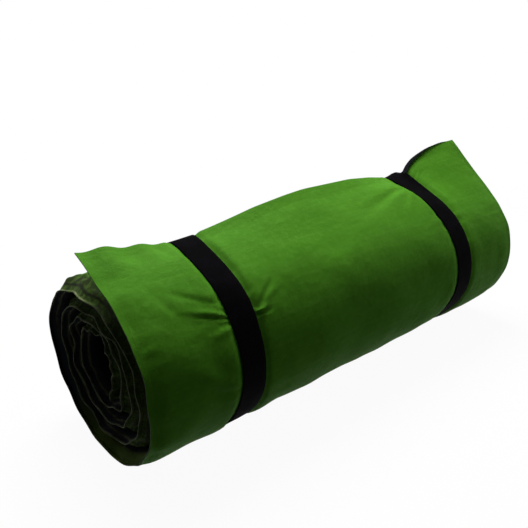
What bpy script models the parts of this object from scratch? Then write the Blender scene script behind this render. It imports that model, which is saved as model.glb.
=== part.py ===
"""Self-inflating camping mat, rolled up and held by two elastic bands, with its air valve.

Metres, +Z up. The roll lies along X on the plane z = 0, with the world origin on that plane,
below the middle of the roll. The mat is wound from its inner end, which carries the valve, to
its free end on top. Winding angles are measured at the roll's axis from +Y through +Z and grow
inward along the mat, so each full turn inward adds 360 degrees.
"""

import math

import bmesh
import bpy
from mathutils import Vector

# Driving sizes of the mat, in metres and degrees
MAT_LENGTH = 1.83
MAT_WIDTH = 0.50
MAT_THICKNESS = 0.0112
FABRIC_THICKNESS = 0.0005
WELD_WIDTH = 0.012
SIDE_SLOPE = 0.022
SIDE_WELD_RISE = 0.003
FOAM_EDGE_SHARE = 0.20
FOAM_EDGE_EASE = 0.0004
FOAM_END_SHARE = 0.40
FOAM_LOOSE_EASE = 0.0007

# Driving sizes of the roll
CORE_RADIUS = 0.0342
WRAP_SLACK = 0.0024
FLATTENING = 0.10
FACETS_PER_TURN = 20
END_ANGLE = 81.0
END_WELD_ANGLE = 7.5
SIDEWAYS_DRIFT = 0.0020
FIT_GAP = 0.0003

# Winding angles at which the loose end leaves the roll and runs straight on, left to right
LEFT_CORNER_LIFT_ANGLE = 117.0
LEFT_BED_LIFT_ANGLE = 107.0
MIDDLE_LIFT_ANGLE = 127.0
RIGHT_BED_LIFT_ANGLE = 112.0
RIGHT_FLANK_LIFT_ANGLE = 131.0
RIGHT_CORNER_LIFT_ANGLE = 136.0
FLAP_ANGLE = 153.0

# How far the loose end falls short of its nominal angle, left to right
LEFT_CORNER_SHORTFALL = 3.0
LEFT_BED_SHORTFALL = 9.0
MIDDLE_SHORTFALL = 2.0
RIGHT_BED_SHORTFALL = 3.0
RIGHT_FLANK_SHORTFALL = 1.0
RIGHT_CORNER_SHORTFALL = -3.0

# Driving sizes of the two elastic bands
STRAP_WIDTH = 0.025
STRAP_THICKNESS = 0.0015
LEFT_STRAP_INSET = 0.096
RIGHT_STRAP_INSET = 0.099
STRAP_PINCH = 0.0010
STRAP_BED_MARGIN = 0.001
STRAP_FLOOR_GAP = 0.0003
LAP_ANGLE = 27.0

# Driving sizes of the level stretch between the bands, and how far the right flank lies past its band
LEVEL_WIDTH = 0.10
RIGHT_FLANK_DISTANCE = 0.023

# Driving sizes of the stiff inner end and the valve foot that is welded into it
FOOT_LENGTH = 0.024
FOOT_DEPTH = 0.010
FOOT_HALF_THICKNESS = 0.004
FOOT_EDGE_SHARE = 0.12

# Driving sizes of the valve's turned pieces
BORE_RADIUS = 0.0026
BORE_WALL = 0.0006
FLANGE_RADIUS = 0.0070
FLANGE_THICKNESS = 0.0020
NECK_RADIUS = 0.0050
NECK_LENGTH = 0.0095
SEAL_RADIUS = 0.0040
SEAL_WIRE_RADIUS = 0.0008
SEAL_SEGMENTS = 10
STEM_RADIUS = 0.0018
STEM_LENGTH = 0.0090
HEAD_RADIUS = 0.0048
HEAD_THICKNESS = 0.0014
SNAP_RIM_RADIUS = 0.0030
SNAP_RIM_THICKNESS = 0.0012
CAP_RADIUS = 0.0095
CAP_WALL = 0.0018
CAP_RIB_DEPTH = 0.0006
CAP_RIBS = 14
CAP_CHAMFER = 0.0012
CAP_FLANGE_GAP = 0.0010
CAP_SLEEVE_SHARE = 0.5
VENT_RADIUS = 0.0010
VENT_COUNT = 8
VENT_SEGMENTS = 10
RUNNING_GAP = 0.0002
ROUND_SEGMENTS = 28

# Sizes that follow from the driving ones
TAU = 2.0 * math.pi
END = math.radians(END_ANGLE)
STEP = TAU / FACETS_PER_TURN
PITCH = MAT_THICKNESS + WRAP_SLACK
HALF = MAT_THICKNESS / 2.0
SEAL_HALF = FIT_GAP / 2.0 + FABRIC_THICKNESS
INNER_RADIUS = CORE_RADIUS + HALF
SECTION_SHARE = 1.0 - FLATTENING / 2.0
LEFT_STRAP_X = LEFT_STRAP_INSET - MAT_WIDTH / 2.0
RIGHT_STRAP_X = MAT_WIDTH / 2.0 - RIGHT_STRAP_INSET
BED_HALF = STRAP_WIDTH / 2.0 + STRAP_BED_MARGIN
LEVEL_LEFT_X = (LEFT_STRAP_X + RIGHT_STRAP_X - LEVEL_WIDTH) / 2.0
LEVEL_RIGHT_X = LEVEL_LEFT_X + LEVEL_WIDTH
RIGHT_FLANK_X = RIGHT_STRAP_X + BED_HALF + RIGHT_FLANK_DISTANCE


def solved_turns():
    """Number of turns that the mat's length makes round the open core."""
    square = math.pi * PITCH
    linear = TAU * INNER_RADIUS
    constant = MAT_LENGTH / SECTION_SHARE
    return (math.sqrt(linear * linear + 4.0 * square * constant) - linear) / (2.0 * square)


TURNS = solved_turns()
OUTER_RADIUS = INNER_RADIUS + TURNS * PITCH
INNER_END = END + TAU * TURNS

# Smallest length and angle that count
TINY = 1e-6
TANGENT_STEP = 1e-4

# Column numbers across the mat, from the left edge to the right one
WELD_LINE_LEFT = 1.0
LEVEL_KEY = 5.0
WELD_LINE_RIGHT = 11.0


def radius_at(angle):
    """Radius of the mat's middle plane at a winding angle."""
    return OUTER_RADIUS - PITCH * (angle - END) / TAU


def wound(angle, offset=0.0):
    """Point (y, z) of the winding at an offset outward from the mat's middle plane."""
    radius = radius_at(angle)
    along_y = (radius + offset) * math.cos(angle)
    along_z = (radius * (1.0 - FLATTENING) + offset) * math.sin(angle)
    return Vector((along_y, along_z))


def stiff_row():
    """Number of the first row past the straight inner end, which holds the foot and its bend."""
    needed = WELD_WIDTH + FOOT_LENGTH + HALF
    row = math.floor((INNER_END - END) / STEP)
    while (wound(INNER_END) - wound(END + row * STEP)).length < needed:
        row -= 1
    return row


STIFF_ROW = stiff_row()
STIFF_START = END + STIFF_ROW * STEP


def resting_rows():
    """The two winding angles between which the outer turn lies flat on the ground."""
    bottom = 1.5 * math.pi
    first = END + math.floor((bottom - END) / STEP) * STEP
    return first, first + STEP


REST_OUTER, REST_INNER = resting_rows()
AXIS_HEIGHT = -wound(REST_INNER, HALF).y


def drift_at(angle):
    """Sideways shift of the mat towards -X, which grows with every turn inward."""
    return -SIDEWAYS_DRIFT * (angle - END) / TAU


def interpolated(x, table):
    """Value at x on straight lines through (x, value) pairs."""
    if x <= table[0][0]:
        return table[0][1]
    for (x0, value0), (x1, value1) in zip(table, table[1:]):
        if x <= x1:
            return value0 + (value1 - value0) * (x - x0) / (x1 - x0)
    return table[-1][1]


def across(left_corner, left_bed, middle, right_bed, right_flank, right_corner):
    """Table of (x, value) pairs across the loose end, level over the bed of each band."""
    return (
        (-MAT_WIDTH / 2.0, left_corner),
        (LEFT_STRAP_X - BED_HALF, left_bed),
        (LEFT_STRAP_X + BED_HALF, left_bed),
        (LEVEL_LEFT_X, middle),
        (LEVEL_RIGHT_X, middle),
        (RIGHT_STRAP_X - BED_HALF, right_bed),
        (RIGHT_STRAP_X + BED_HALF, right_bed),
        (RIGHT_FLANK_X, right_flank),
        (MAT_WIDTH / 2.0, right_corner),
    )


LIFT_TABLE = across(
    LEFT_CORNER_LIFT_ANGLE,
    LEFT_BED_LIFT_ANGLE,
    MIDDLE_LIFT_ANGLE,
    RIGHT_BED_LIFT_ANGLE,
    RIGHT_FLANK_LIFT_ANGLE,
    RIGHT_CORNER_LIFT_ANGLE,
)
SHORTFALL_TABLE = across(
    LEFT_CORNER_SHORTFALL,
    LEFT_BED_SHORTFALL,
    MIDDLE_SHORTFALL,
    RIGHT_BED_SHORTFALL,
    RIGHT_FLANK_SHORTFALL,
    RIGHT_CORNER_SHORTFALL,
)


def along_flap(x, angle, offset):
    """Point (y, z) on the loose end, which leaves the roll on a tangent where it lifts."""
    lift = math.radians(interpolated(x, LIFT_TABLE))
    if angle >= lift:
        return wound(angle, offset)
    start = wound(lift)
    tangent = (wound(lift - TANGENT_STEP) - wound(lift + TANGENT_STEP)) / (2.0 * TANGENT_STEP)
    away = Vector((-tangent.y, tangent.x)).normalized()
    if away.dot(start) < 0.0:
        away.negate()
    return start + tangent * (lift - angle) + away * offset


class Row:
    """One line of points across the mat, at one place along its length."""

    def __init__(self, angle, welded=False, beds=False, loose=False, skewed=False):
        self.angle = angle
        self.welded = welded
        self.beds = beds
        self.loose = loose
        self.skewed = skewed

    def place(self, x, offset):
        """Point (y, z) at x along the roll and an offset through the mat."""
        angle = self.angle
        if self.skewed:
            angle += math.radians(interpolated(x, SHORTFALL_TABLE))
        if self.loose:
            return along_flap(x, angle, offset)
        point = wound(angle, offset)
        if angle == REST_OUTER:
            point.y += -AXIS_HEIGHT - wound(angle, HALF).y
        return point

    def pinch(self, x):
        """How far a band presses the outer fabric in at x."""
        from_band = min(abs(x - LEFT_STRAP_X), abs(x - RIGHT_STRAP_X))
        under_band = from_band <= BED_HALF + TINY
        if not (self.beds and under_band):
            return 0.0
        if self.angle in (REST_OUTER, REST_INNER):
            return STRAP_THICKNESS + FIT_GAP + STRAP_FLOOR_GAP
        if self.loose and not self.welded and self.angle < math.radians(FLAP_ANGLE) - STEP / 2.0:
            return STRAP_PINCH
        return 0.0

    def sealed(self, key):
        """Middle and half width of the sealed edge at a column, or None inside the welds."""
        at_side = key <= WELD_LINE_LEFT or key >= WELD_LINE_RIGHT
        if not (self.welded or at_side):
            return None
        return (SIDE_WELD_RISE if at_side else 0.0), SEAL_HALF

    def outer_point(self, key, x, depth=0.0):
        """World point at a depth below the top fabric's outer face."""
        seal = self.sealed(key)
        offset = HALF - self.pinch(x) if seal is None else seal[0] + seal[1]
        return world(x, self.place(x, offset - depth))

    def inner_point(self, key, x, depth=0.0):
        """World point at a depth above the base fabric's face towards the core."""
        seal = self.sealed(key)
        offset = -HALF if seal is None else seal[0] - seal[1]
        return world(x, self.place(x, offset + depth))


class StiffRow(Row):
    """A line of points across the straight inner end, which the valve foot keeps stiff."""

    def __init__(self, distance, welded=False, open_foot=False):
        super().__init__(INNER_END, welded=welded)
        self.distance = distance
        self.open_foot = open_foot
        start, end = wound(INNER_END), wound(STIFF_START)
        self.along = (end - start).normalized()
        self.outward = Vector((self.along.y, -self.along.x))
        if self.outward.dot(start + end) < 0.0:
            self.outward.negate()
        self.start = start

    def place(self, x, offset):
        """Point (y, z) on the straight end."""
        return self.start + self.along * self.distance + self.outward * offset

    def sealed(self, key):
        """Sealed edge, which opens round the foot at its middle."""
        if self.open_foot and key >= WELD_LINE_RIGHT:
            return SIDE_WELD_RISE, FOOT_HALF_THICKNESS + FIT_GAP + FABRIC_THICKNESS
        return super().sealed(key)


class TaperRow(Row):
    """A line of points between an end weld and the full thickness, where the foam stops."""

    def __init__(self, weld_row, full_row):
        super().__init__(weld_row.angle, beds=weld_row.beds, loose=weld_row.loose)
        self.weld_row = weld_row
        self.full_row = full_row

    def outer_point(self, key, x, depth=0.0):
        """World point part of the way from the weld to the full thickness."""
        near = self.weld_row.outer_point(key, x, depth)
        return near.lerp(self.full_row.outer_point(key, x, depth), FOAM_END_SHARE)

    def inner_point(self, key, x, depth=0.0):
        """World point part of the way from the weld to the full thickness."""
        near = self.weld_row.inner_point(key, x, depth)
        return near.lerp(self.full_row.inner_point(key, x, depth), FOAM_END_SHARE)


FOOT_MIDDLE = WELD_WIDTH + FOOT_LENGTH / 2.0


def mat_rows():
    """All rows from the free end on top to the inner end in the core."""
    weld_line = END + math.radians(END_WELD_ANGLE)
    rows = [Row(END, welded=True, beds=True, loose=True, skewed=True)]
    rows.append(Row(weld_line, welded=True, beds=True, loose=True, skewed=True))
    flap = math.radians(FLAP_ANGLE)
    for index in range(1, STIFF_ROW + 1):
        angle = END + index * STEP
        loose = angle < flap + STEP / 2.0
        near_ground = REST_OUTER - 1.5 * STEP < angle < REST_INNER + 1.5 * STEP
        if near_ground and abs(angle - REST_OUTER) < STEP / 2.0:
            angle = REST_OUTER
        if near_ground and abs(angle - REST_INNER) < STEP / 2.0:
            angle = REST_INNER
        rows.append(Row(angle, beds=loose or near_ground, loose=loose, skewed=index == 1))
    rows.append(StiffRow(WELD_WIDTH + FOOT_LENGTH))
    rows.append(StiffRow(FOOT_MIDDLE, open_foot=True))
    rows.append(StiffRow(WELD_WIDTH, welded=True))
    rows.append(StiffRow(0.0, welded=True))
    rows.insert(-2, TaperRow(rows[-2], rows[-3]))
    rows.insert(2, TaperRow(rows[1], rows[2]))
    return rows


def side_columns(row):
    """Column numbers and x of the edge, weld line and shoulder on both sides of the mat."""
    drift = drift_at(row.angle)
    edge = MAT_WIDTH / 2.0
    weld = edge - WELD_WIDTH
    shoulder = weld - SIDE_SLOPE
    left = [(0.0, drift - edge), (1.0, drift - weld), (2.0, drift - shoulder)]
    right = [(10.0, drift + shoulder), (11.0, drift + weld), (12.0, drift + edge)]
    return left, right


def columns(row, with_beds=True):
    """Column numbers and x of all points across one row."""
    left, right = side_columns(row)
    if not (row.beds and with_beds):
        return left + right
    beds = [(3.0, LEFT_STRAP_X - BED_HALF), (4.0, LEFT_STRAP_X + BED_HALF)]
    beds += [(LEVEL_KEY, LEVEL_LEFT_X), (6.0, LEVEL_RIGHT_X)]
    beds += [(7.0, RIGHT_STRAP_X - BED_HALF), (8.0, RIGHT_STRAP_X + BED_HALF)]
    if row.loose:
        beds.append((9.0, RIGHT_FLANK_X))
    return left + beds + right


def world(x, point):
    """World position of a point of the roll's section."""
    return Vector((x, point.x, point.y + AXIS_HEIGHT))


def stitched(first, second):
    """Triangles between two rows of (key, vertex) pairs, stepping along the smaller key."""
    faces = []
    a = b = 0
    while a < len(first) - 1 or b < len(second) - 1:
        next_a = first[a + 1][0] if a < len(first) - 1 else math.inf
        next_b = second[b + 1][0] if b < len(second) - 1 else math.inf
        if next_a <= next_b:
            faces.append((first[a][1], first[a + 1][1], second[b][1]))
            a += 1
        else:
            faces.append((first[a][1], second[b + 1][1], second[b][1]))
            b += 1
    return faces


def slab_mesh(name, rows):
    """Closed solid between two stacked surfaces.

    Each row is a list of (key, outer point, inner point). The two surfaces share their
    triangulation, and a wall runs round their common border.
    """
    vertices = []
    numbered = []
    for row in rows:
        numbered.append([(key, len(vertices) + index) for index, (key, _, _) in enumerate(row)])
        vertices += [outer for _, outer, _ in row]
    count = len(vertices)
    for row in rows:
        vertices += [inner for _, _, inner in row]
    outer_faces = []
    for first, second in zip(numbered, numbered[1:]):
        outer_faces += stitched(first, second)
    edges = {(face[i], face[(i + 1) % 3]) for face in outer_faces for i in range(3)}
    faces = list(outer_faces)
    faces += [tuple(count + vertex for vertex in reversed(face)) for face in outer_faces]
    for start, end in sorted(edges):
        if (end, start) not in edges:
            faces.append((end, start, count + start))
            faces.append((end, count + start, count + end))
    mesh = bpy.data.meshes.new(name)
    mesh.from_pydata(vertices, [], faces)
    return mesh


def outward(mesh):
    """Turns all faces of a closed mesh outward."""
    work = bmesh.new()
    work.from_mesh(mesh)
    bmesh.ops.recalc_face_normals(work, faces=work.faces)
    work.to_mesh(mesh)
    work.free()


def material(name, colour, roughness, metallic=0.0):
    """Plain Principled material of one colour."""
    made = bpy.data.materials.new(name)
    made.use_nodes = True
    shader = made.node_tree.nodes["Principled BSDF"]
    shader.inputs["Base Color"].default_value = (*colour, 1.0)
    shader.inputs["Roughness"].default_value = roughness
    shader.inputs["Metallic"].default_value = metallic
    return made


def shown(name, mesh, finish, parent=None, location=(0.0, 0.0, 0.0), sharp_angle=35.0):
    """Object for a finished mesh, shaded smooth except over sharp edges."""
    outward(mesh)
    mesh.materials.append(finish)
    mesh.shade_smooth()
    mesh.set_sharp_from_angle(angle=math.radians(sharp_angle))
    made = bpy.data.objects.new(name, mesh)
    made.parent = parent
    made.location = location
    bpy.context.scene.collection.objects.link(made)
    return made


def top_panel_mesh(rows):
    """Fabric on the outside of the winding."""
    slab = []
    for row in rows:
        line = []
        for key, x in columns(row):
            line.append((key, row.outer_point(key, x), row.outer_point(key, x, FABRIC_THICKNESS)))
        slab.append(line)
    return slab_mesh("top_panel", slab)


def base_panel_mesh(rows):
    """Fabric on the inside of the winding, which lies flat over the ground beds of the bands."""
    slab = []
    for row in rows:
        line = []
        for key, x in columns(row, with_beds=row.loose):
            line.append((key, row.inner_point(key, x, FABRIC_THICKNESS), row.inner_point(key, x)))
        slab.append(line)
    return slab_mesh("base_panel", slab)


def blended(edge, shoulder, ease):
    """Point pair part of the way from a welded edge to its shoulder, eased off the fabrics."""
    key = edge[0] + (shoulder[0] - edge[0]) * FOAM_EDGE_SHARE
    outer = edge[1].lerp(shoulder[1], FOAM_EDGE_SHARE)
    inner = edge[2].lerp(shoulder[2], FOAM_EDGE_SHARE)
    through = (shoulder[1] - shoulder[2]).normalized()
    return key, outer - through * ease, inner + through * ease


def foam_line(row):
    """Foam points of one row, as (key, outer point, inner point), with both edges drawn in."""
    shell = FABRIC_THICKNESS + FIT_GAP
    line = []
    for key, x in columns(row):
        line.append((key, row.outer_point(key, x, shell), row.inner_point(key, x, shell)))
    ease = FOAM_LOOSE_EASE if row.loose else FOAM_EDGE_EASE
    left = [blended(line[1], line[2], ease)]
    right = [blended(line[-2], line[-3], ease)]
    return left + line[2:-2] + right


def foam_core_mesh(rows):
    """Foam slab that fills the mat between its welds."""
    return slab_mesh("foam_core", [foam_line(row) for row in rows[2:-2]])


def convex_outline(points):
    """Corners of the convex outline round 2-D points, anticlockwise."""
    ordered = sorted((point.x, point.y) for point in points)

    def chain(items):
        """One side of the outline."""
        corners = []
        for item in items:
            while len(corners) >= 2:
                (ax, ay), (bx, by) = corners[-2], corners[-1]
                if (bx - ax) * (item[1] - ay) - (by - ay) * (item[0] - ax) > 0.0:
                    break
                corners.pop()
            corners.append(item)
        return corners[:-1]

    return [Vector(corner) for corner in chain(ordered) + chain(reversed(ordered))]


def outline_offset(corners, distances):
    """Outline moved outward, each corner along its bisector by its own distance."""
    moved = []
    count = len(corners)
    for index, corner in enumerate(corners):
        before = (corner - corners[index - 1]).normalized()
        after = (corners[(index + 1) % count] - corner).normalized()
        normal_before = Vector((before.y, -before.x))
        normal_after = Vector((after.y, -after.x))
        bisector = (normal_before + normal_after).normalized()
        moved.append(corner + bisector * (distances[index] / bisector.dot(normal_before)))
    return moved


def strap_mesh(name, rows, centre_x):
    """Elastic band pulled tight round the roll, with its sewn lap at the back."""
    turn = [row for row in rows if row.angle <= END + TAU + TINY]
    points = []
    for row in turn:
        point = row.outer_point(LEVEL_KEY, centre_x)
        points.append(Vector((point.y, point.z - AXIS_HEIGHT)))
    corners = convex_outline(points)
    lap = math.radians(LAP_ANGLE)
    thickness = []
    for corner in corners:
        at_back = abs(math.atan2(corner.y, corner.x)) < lap
        thickness.append(STRAP_THICKNESS * (2.0 if at_back else 1.0))
    inner = outline_offset(corners, [FIT_GAP] * len(corners))
    outer = outline_offset(corners, [FIT_GAP + wall for wall in thickness])
    half = STRAP_WIDTH / 2.0
    vertices = []
    for x, loop in ((-half, inner), (half, inner), (half, outer), (-half, outer)):
        vertices += [Vector((x, point.x, point.y)) for point in loop]
    count = len(corners)
    faces = []
    for ring in range(4):
        for index in range(count):
            after = (index + 1) % count
            near, far = ring * count, ((ring + 1) % 4) * count
            faces.append((near + index, near + after, far + after, far + index))
    mesh = bpy.data.meshes.new(name)
    mesh.from_pydata(vertices, [], faces)
    return mesh


def turned_mesh(name, profile, segments=ROUND_SEGMENTS):
    """Closed solid turned about the X axis from a closed profile of (x, radius) points."""
    vertices = []
    for index in range(segments):
        angle = TAU * index / segments
        vertices += [(x, r * math.cos(angle), r * math.sin(angle)) for x, r in profile]
    count = len(profile)
    faces = []
    for index in range(segments):
        after = (index + 1) % segments
        for place in range(count):
            following = (place + 1) % count
            near, far = index * count, after * count
            faces.append((near + place, near + following, far + following, far + place))
    mesh = bpy.data.meshes.new(name)
    mesh.from_pydata(vertices, [], faces)
    work = bmesh.new()
    work.from_mesh(mesh)
    bmesh.ops.remove_doubles(work, verts=work.verts, dist=TINY)
    bmesh.ops.dissolve_degenerate(work, edges=work.edges, dist=TINY)
    work.to_mesh(mesh)
    work.free()
    return mesh


def cutter(name, mesh, parent, location=(0.0, 0.0, 0.0)):
    """Hidden solid that only cuts others."""
    made = shown(name, mesh, bpy.data.materials["guide"], parent, location)
    made.hide_render = True
    made.display_type = "WIRE"
    return made


def boolean(target, tool, operation):
    """Boolean modifier on a target."""
    step = target.modifiers.new(tool.name, "BOOLEAN")
    step.operation = operation
    step.solver = "EXACT"
    step.object = tool


def foot_mesh(row):
    """Boat-shaped foot between the two fabrics, pointed towards both ends of its seat."""
    stretch = FOOT_LENGTH / 2.0
    tip = stretch * (1.0 - FOOT_EDGE_SHARE)
    slope = (FOOT_HALF_THICKNESS + FIT_GAP / 2.0) / stretch
    tip_half = FOOT_HALF_THICKNESS - slope * tip
    outline = [(-tip, -tip_half), (0.0, -FOOT_HALF_THICKNESS), (tip, -tip_half)]
    outline += [(tip, tip_half), (0.0, FOOT_HALF_THICKNESS), (-tip, tip_half)]
    vertices = []
    for x in (-FOOT_DEPTH, FIT_GAP):
        for along, through in outline:
            point = row.along * along + row.outward * through
            vertices.append((x, point.x, point.y))
    count = len(outline)
    faces = [tuple(range(count)), tuple(range(2 * count - 1, count - 1, -1))]
    for index in range(count):
        after = (index + 1) % count
        faces.append((index, count + index, count + after, after))
    mesh = bpy.data.meshes.new("valve_foot")
    mesh.from_pydata(vertices, [], faces)
    return mesh


def cap_mesh(start, end):
    """Ribbed outer form of the cap, chamfered at its front, before it is hollowed."""
    points = 4 * CAP_RIBS
    vertices = []
    rings = ((start, 0.0), (end - CAP_CHAMFER, 0.0), (end, CAP_CHAMFER))
    for x, inset in rings:
        for index in range(points):
            angle = TAU * index / points
            radius = CAP_RADIUS - inset - (CAP_RIB_DEPTH if index % 4 >= 2 else 0.0)
            vertices.append((x, radius * math.cos(angle), radius * math.sin(angle)))
    faces = [tuple(range(points)), tuple(range(3 * points - 1, 2 * points - 1, -1))]
    for ring in range(2):
        for index in range(points):
            after = (index + 1) % points
            near, far = ring * points, (ring + 1) * points
            faces.append((near + index, far + index, far + after, near + after))
    mesh = bpy.data.meshes.new("valve_cap")
    mesh.from_pydata(vertices, [], faces)
    return mesh


def build_valve(rows, plastic, rubber):
    """Valve body welded into the inner corner, and the plug, seal and cap that open it."""
    row = next(row for row in rows if isinstance(row, StiffRow) and row.open_foot)
    edge_x = MAT_WIDTH / 2.0 + drift_at(row.angle)
    axis = bpy.data.objects.new("valve_axis", None)
    axis.location = world(edge_x, row.place(edge_x, SIDE_WELD_RISE))
    bpy.context.scene.collection.objects.link(axis)

    flange_start = FIT_GAP
    neck_start = flange_start + FLANGE_THICKNESS
    mouth = neck_start + NECK_LENGTH
    body = shown("valve_body", foot_mesh(row), plastic, axis)
    tube = BORE_RADIUS + BORE_WALL
    neck_profile = [(-FOOT_DEPTH / 2.0, 0.0), (-FOOT_DEPTH / 2.0, tube)]
    neck_profile += [(flange_start, tube), (flange_start, FLANGE_RADIUS)]
    neck_profile += [(neck_start, FLANGE_RADIUS), (neck_start, NECK_RADIUS)]
    neck_profile += [(mouth, NECK_RADIUS), (mouth, 0.0)]
    neck = cutter("valve_neck_guide", turned_mesh("valve_neck_guide", neck_profile), axis)
    bore_profile = [(-FOOT_DEPTH - FIT_GAP, 0.0), (-FOOT_DEPTH - FIT_GAP, BORE_RADIUS)]
    bore_profile += [(mouth + FIT_GAP, BORE_RADIUS), (mouth + FIT_GAP, 0.0)]
    bore = cutter("valve_bore_guide", turned_mesh("valve_bore_guide", bore_profile), axis)
    boolean(body, neck, "UNION")
    boolean(body, bore, "DIFFERENCE")

    seal_x = mouth + RUNNING_GAP + SEAL_WIRE_RADIUS
    seal_profile = []
    for index in range(SEAL_SEGMENTS):
        angle = TAU * (index + 0.5) / SEAL_SEGMENTS
        x = seal_x + SEAL_WIRE_RADIUS * math.cos(angle)
        seal_profile.append((x, SEAL_RADIUS + SEAL_WIRE_RADIUS * math.sin(angle)))
    shown("valve_seal", turned_mesh("valve_seal", seal_profile), rubber, axis)

    head_start = seal_x + SEAL_WIRE_RADIUS + RUNNING_GAP
    head_end = head_start + HEAD_THICKNESS
    wall_start = head_end + RUNNING_GAP
    wall_end = wall_start + CAP_WALL
    rim_start = wall_end + RUNNING_GAP
    rim_end = rim_start + SNAP_RIM_THICKNESS
    pilot = SEAL_RADIUS - SEAL_WIRE_RADIUS - RUNNING_GAP
    pilot_start = mouth + 2.0 * RUNNING_GAP
    plug_profile = [(pilot_start - STEM_LENGTH, 0.0), (pilot_start - STEM_LENGTH, STEM_RADIUS)]
    plug_profile += [(pilot_start, STEM_RADIUS), (pilot_start, pilot), (head_start, pilot)]
    plug_profile += [(head_start, HEAD_RADIUS), (head_end, HEAD_RADIUS), (head_end, STEM_RADIUS)]
    plug_profile += [(rim_start, STEM_RADIUS), (rim_start, SNAP_RIM_RADIUS)]
    plug_profile += [(rim_end, SNAP_RIM_RADIUS), (rim_end, 0.0)]
    shown("valve_plug", turned_mesh("valve_plug", plug_profile), plastic, axis)

    cap_start = neck_start + CAP_FLANGE_GAP
    cap = shown("valve_cap", cap_mesh(cap_start, wall_end), plastic, axis)
    sleeve = NECK_RADIUS + RUNNING_GAP
    chamber = CAP_RADIUS - CAP_RIB_DEPTH - CAP_WALL / 2.0
    chamber_start = cap_start + (mouth - cap_start) * CAP_SLEEVE_SHARE
    eye = STEM_RADIUS + RUNNING_GAP
    hollow_profile = [(cap_start - RUNNING_GAP, 0.0), (cap_start - RUNNING_GAP, sleeve)]
    hollow_profile += [(chamber_start, sleeve), (chamber_start, chamber), (wall_start, chamber)]
    hollow_profile += [(wall_start, eye), (wall_end + RUNNING_GAP, eye)]
    hollow_profile += [(wall_end + RUNNING_GAP, 0.0)]
    hollow = cutter("cap_hollow_guide", turned_mesh("cap_hollow_guide", hollow_profile), axis)
    boolean(cap, hollow, "DIFFERENCE")
    vent_ring = (HEAD_RADIUS + chamber) / 2.0
    vent_profile = [(wall_start - RUNNING_GAP, 0.0), (wall_start - RUNNING_GAP, VENT_RADIUS)]
    vent_profile += [(wall_end + RUNNING_GAP, VENT_RADIUS), (wall_end + RUNNING_GAP, 0.0)]
    for index in range(VENT_COUNT):
        angle = TAU * index / VENT_COUNT
        place = (0.0, vent_ring * math.cos(angle), vent_ring * math.sin(angle))
        name = f"cap_vent_guide_{index + 1}"
        vent = cutter(name, turned_mesh(name, vent_profile, VENT_SEGMENTS), axis, place)
        boolean(cap, vent, "DIFFERENCE")


def clear_scene():
    """Removes every object of the open scene."""
    for existing in list(bpy.data.objects):
        bpy.data.objects.remove(existing, do_unlink=True)


def main():
    """Builds the whole mat."""
    clear_scene()
    green = material("green_fabric", (0.055, 0.19, 0.022), 0.62)
    black = material("base_fabric", (0.012, 0.013, 0.016), 0.70)
    foam = material("foam", (0.62, 0.58, 0.42), 0.95)
    elastic = material("elastic_band", (0.006, 0.006, 0.008), 0.80)
    plastic = material("valve_plastic", (0.015, 0.015, 0.017), 0.45)
    rubber = material("seal_rubber", (0.02, 0.02, 0.02), 0.75)
    material("guide", (0.8, 0.2, 0.1), 0.5)

    roll_axis = bpy.data.objects.new("roll_axis", None)
    roll_axis.location = (0.0, 0.0, AXIS_HEIGHT)
    bpy.context.scene.collection.objects.link(roll_axis)

    rows = mat_rows()
    shown("top_panel", top_panel_mesh(rows), green)
    shown("base_panel", base_panel_mesh(rows), black)
    shown("foam_core", foam_core_mesh(rows), foam)
    for name, centre in (("strap_left", LEFT_STRAP_X), ("strap_right", RIGHT_STRAP_X)):
        band = strap_mesh(name, rows, centre)
        shown(name, band, elastic, roll_axis, (centre, 0.0, 0.0))
    build_valve(rows, plastic, rubber)
    print(f"turns {TURNS:.3f}, outer radius {OUTER_RADIUS:.4f} m, axis height {AXIS_HEIGHT:.4f} m")


main()
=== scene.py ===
"""Rolled camping mat in its two elastic bands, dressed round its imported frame.

Metres, +Z up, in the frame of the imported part: the roll lies along X on the plane z = 0. Winding
angles are measured at the roll's axis from +Y through +Z and grow inward along the mat, from the
loose end on top to the inner end in the core.
"""

import logging
import math
from collections.abc import Sequence
from dataclasses import dataclass, field
from enum import Enum

import bmesh
import bpy
import numpy as np
from mathutils import Matrix, Vector


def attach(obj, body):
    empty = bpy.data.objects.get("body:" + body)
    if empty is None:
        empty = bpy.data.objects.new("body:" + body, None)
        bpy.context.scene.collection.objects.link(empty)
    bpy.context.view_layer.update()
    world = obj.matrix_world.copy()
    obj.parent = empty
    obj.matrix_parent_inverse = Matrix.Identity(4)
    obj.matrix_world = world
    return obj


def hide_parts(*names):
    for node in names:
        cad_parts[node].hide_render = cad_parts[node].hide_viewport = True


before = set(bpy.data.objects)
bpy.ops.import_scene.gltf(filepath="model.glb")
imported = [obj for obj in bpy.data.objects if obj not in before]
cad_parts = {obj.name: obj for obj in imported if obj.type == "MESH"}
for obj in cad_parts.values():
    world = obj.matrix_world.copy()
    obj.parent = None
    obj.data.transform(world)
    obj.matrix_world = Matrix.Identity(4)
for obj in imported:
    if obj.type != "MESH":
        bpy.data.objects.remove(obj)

LOG = logging.getLogger("mat")
TAU = 2.0 * math.pi
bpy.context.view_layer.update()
SAME_PLACE = 1e-7
WAVE_SCALE = TAU / 20.0
Array = np.ndarray
Row = list[tuple[float, int]]
Colour = tuple[float, float, float]
Place = tuple[float, float, float]
Socket = bpy.types.NodeSocket


def smooth_step(value: Array | float, start: float = 0.0, length: float = 1.0) -> Array | float:
    """Smooth rise from 0 to 1 that begins at a start and takes a length."""
    held = np.clip((value - start) / length, 0.0, 1.0)
    return held * held * (3.0 - 2.0 * held)


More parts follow.
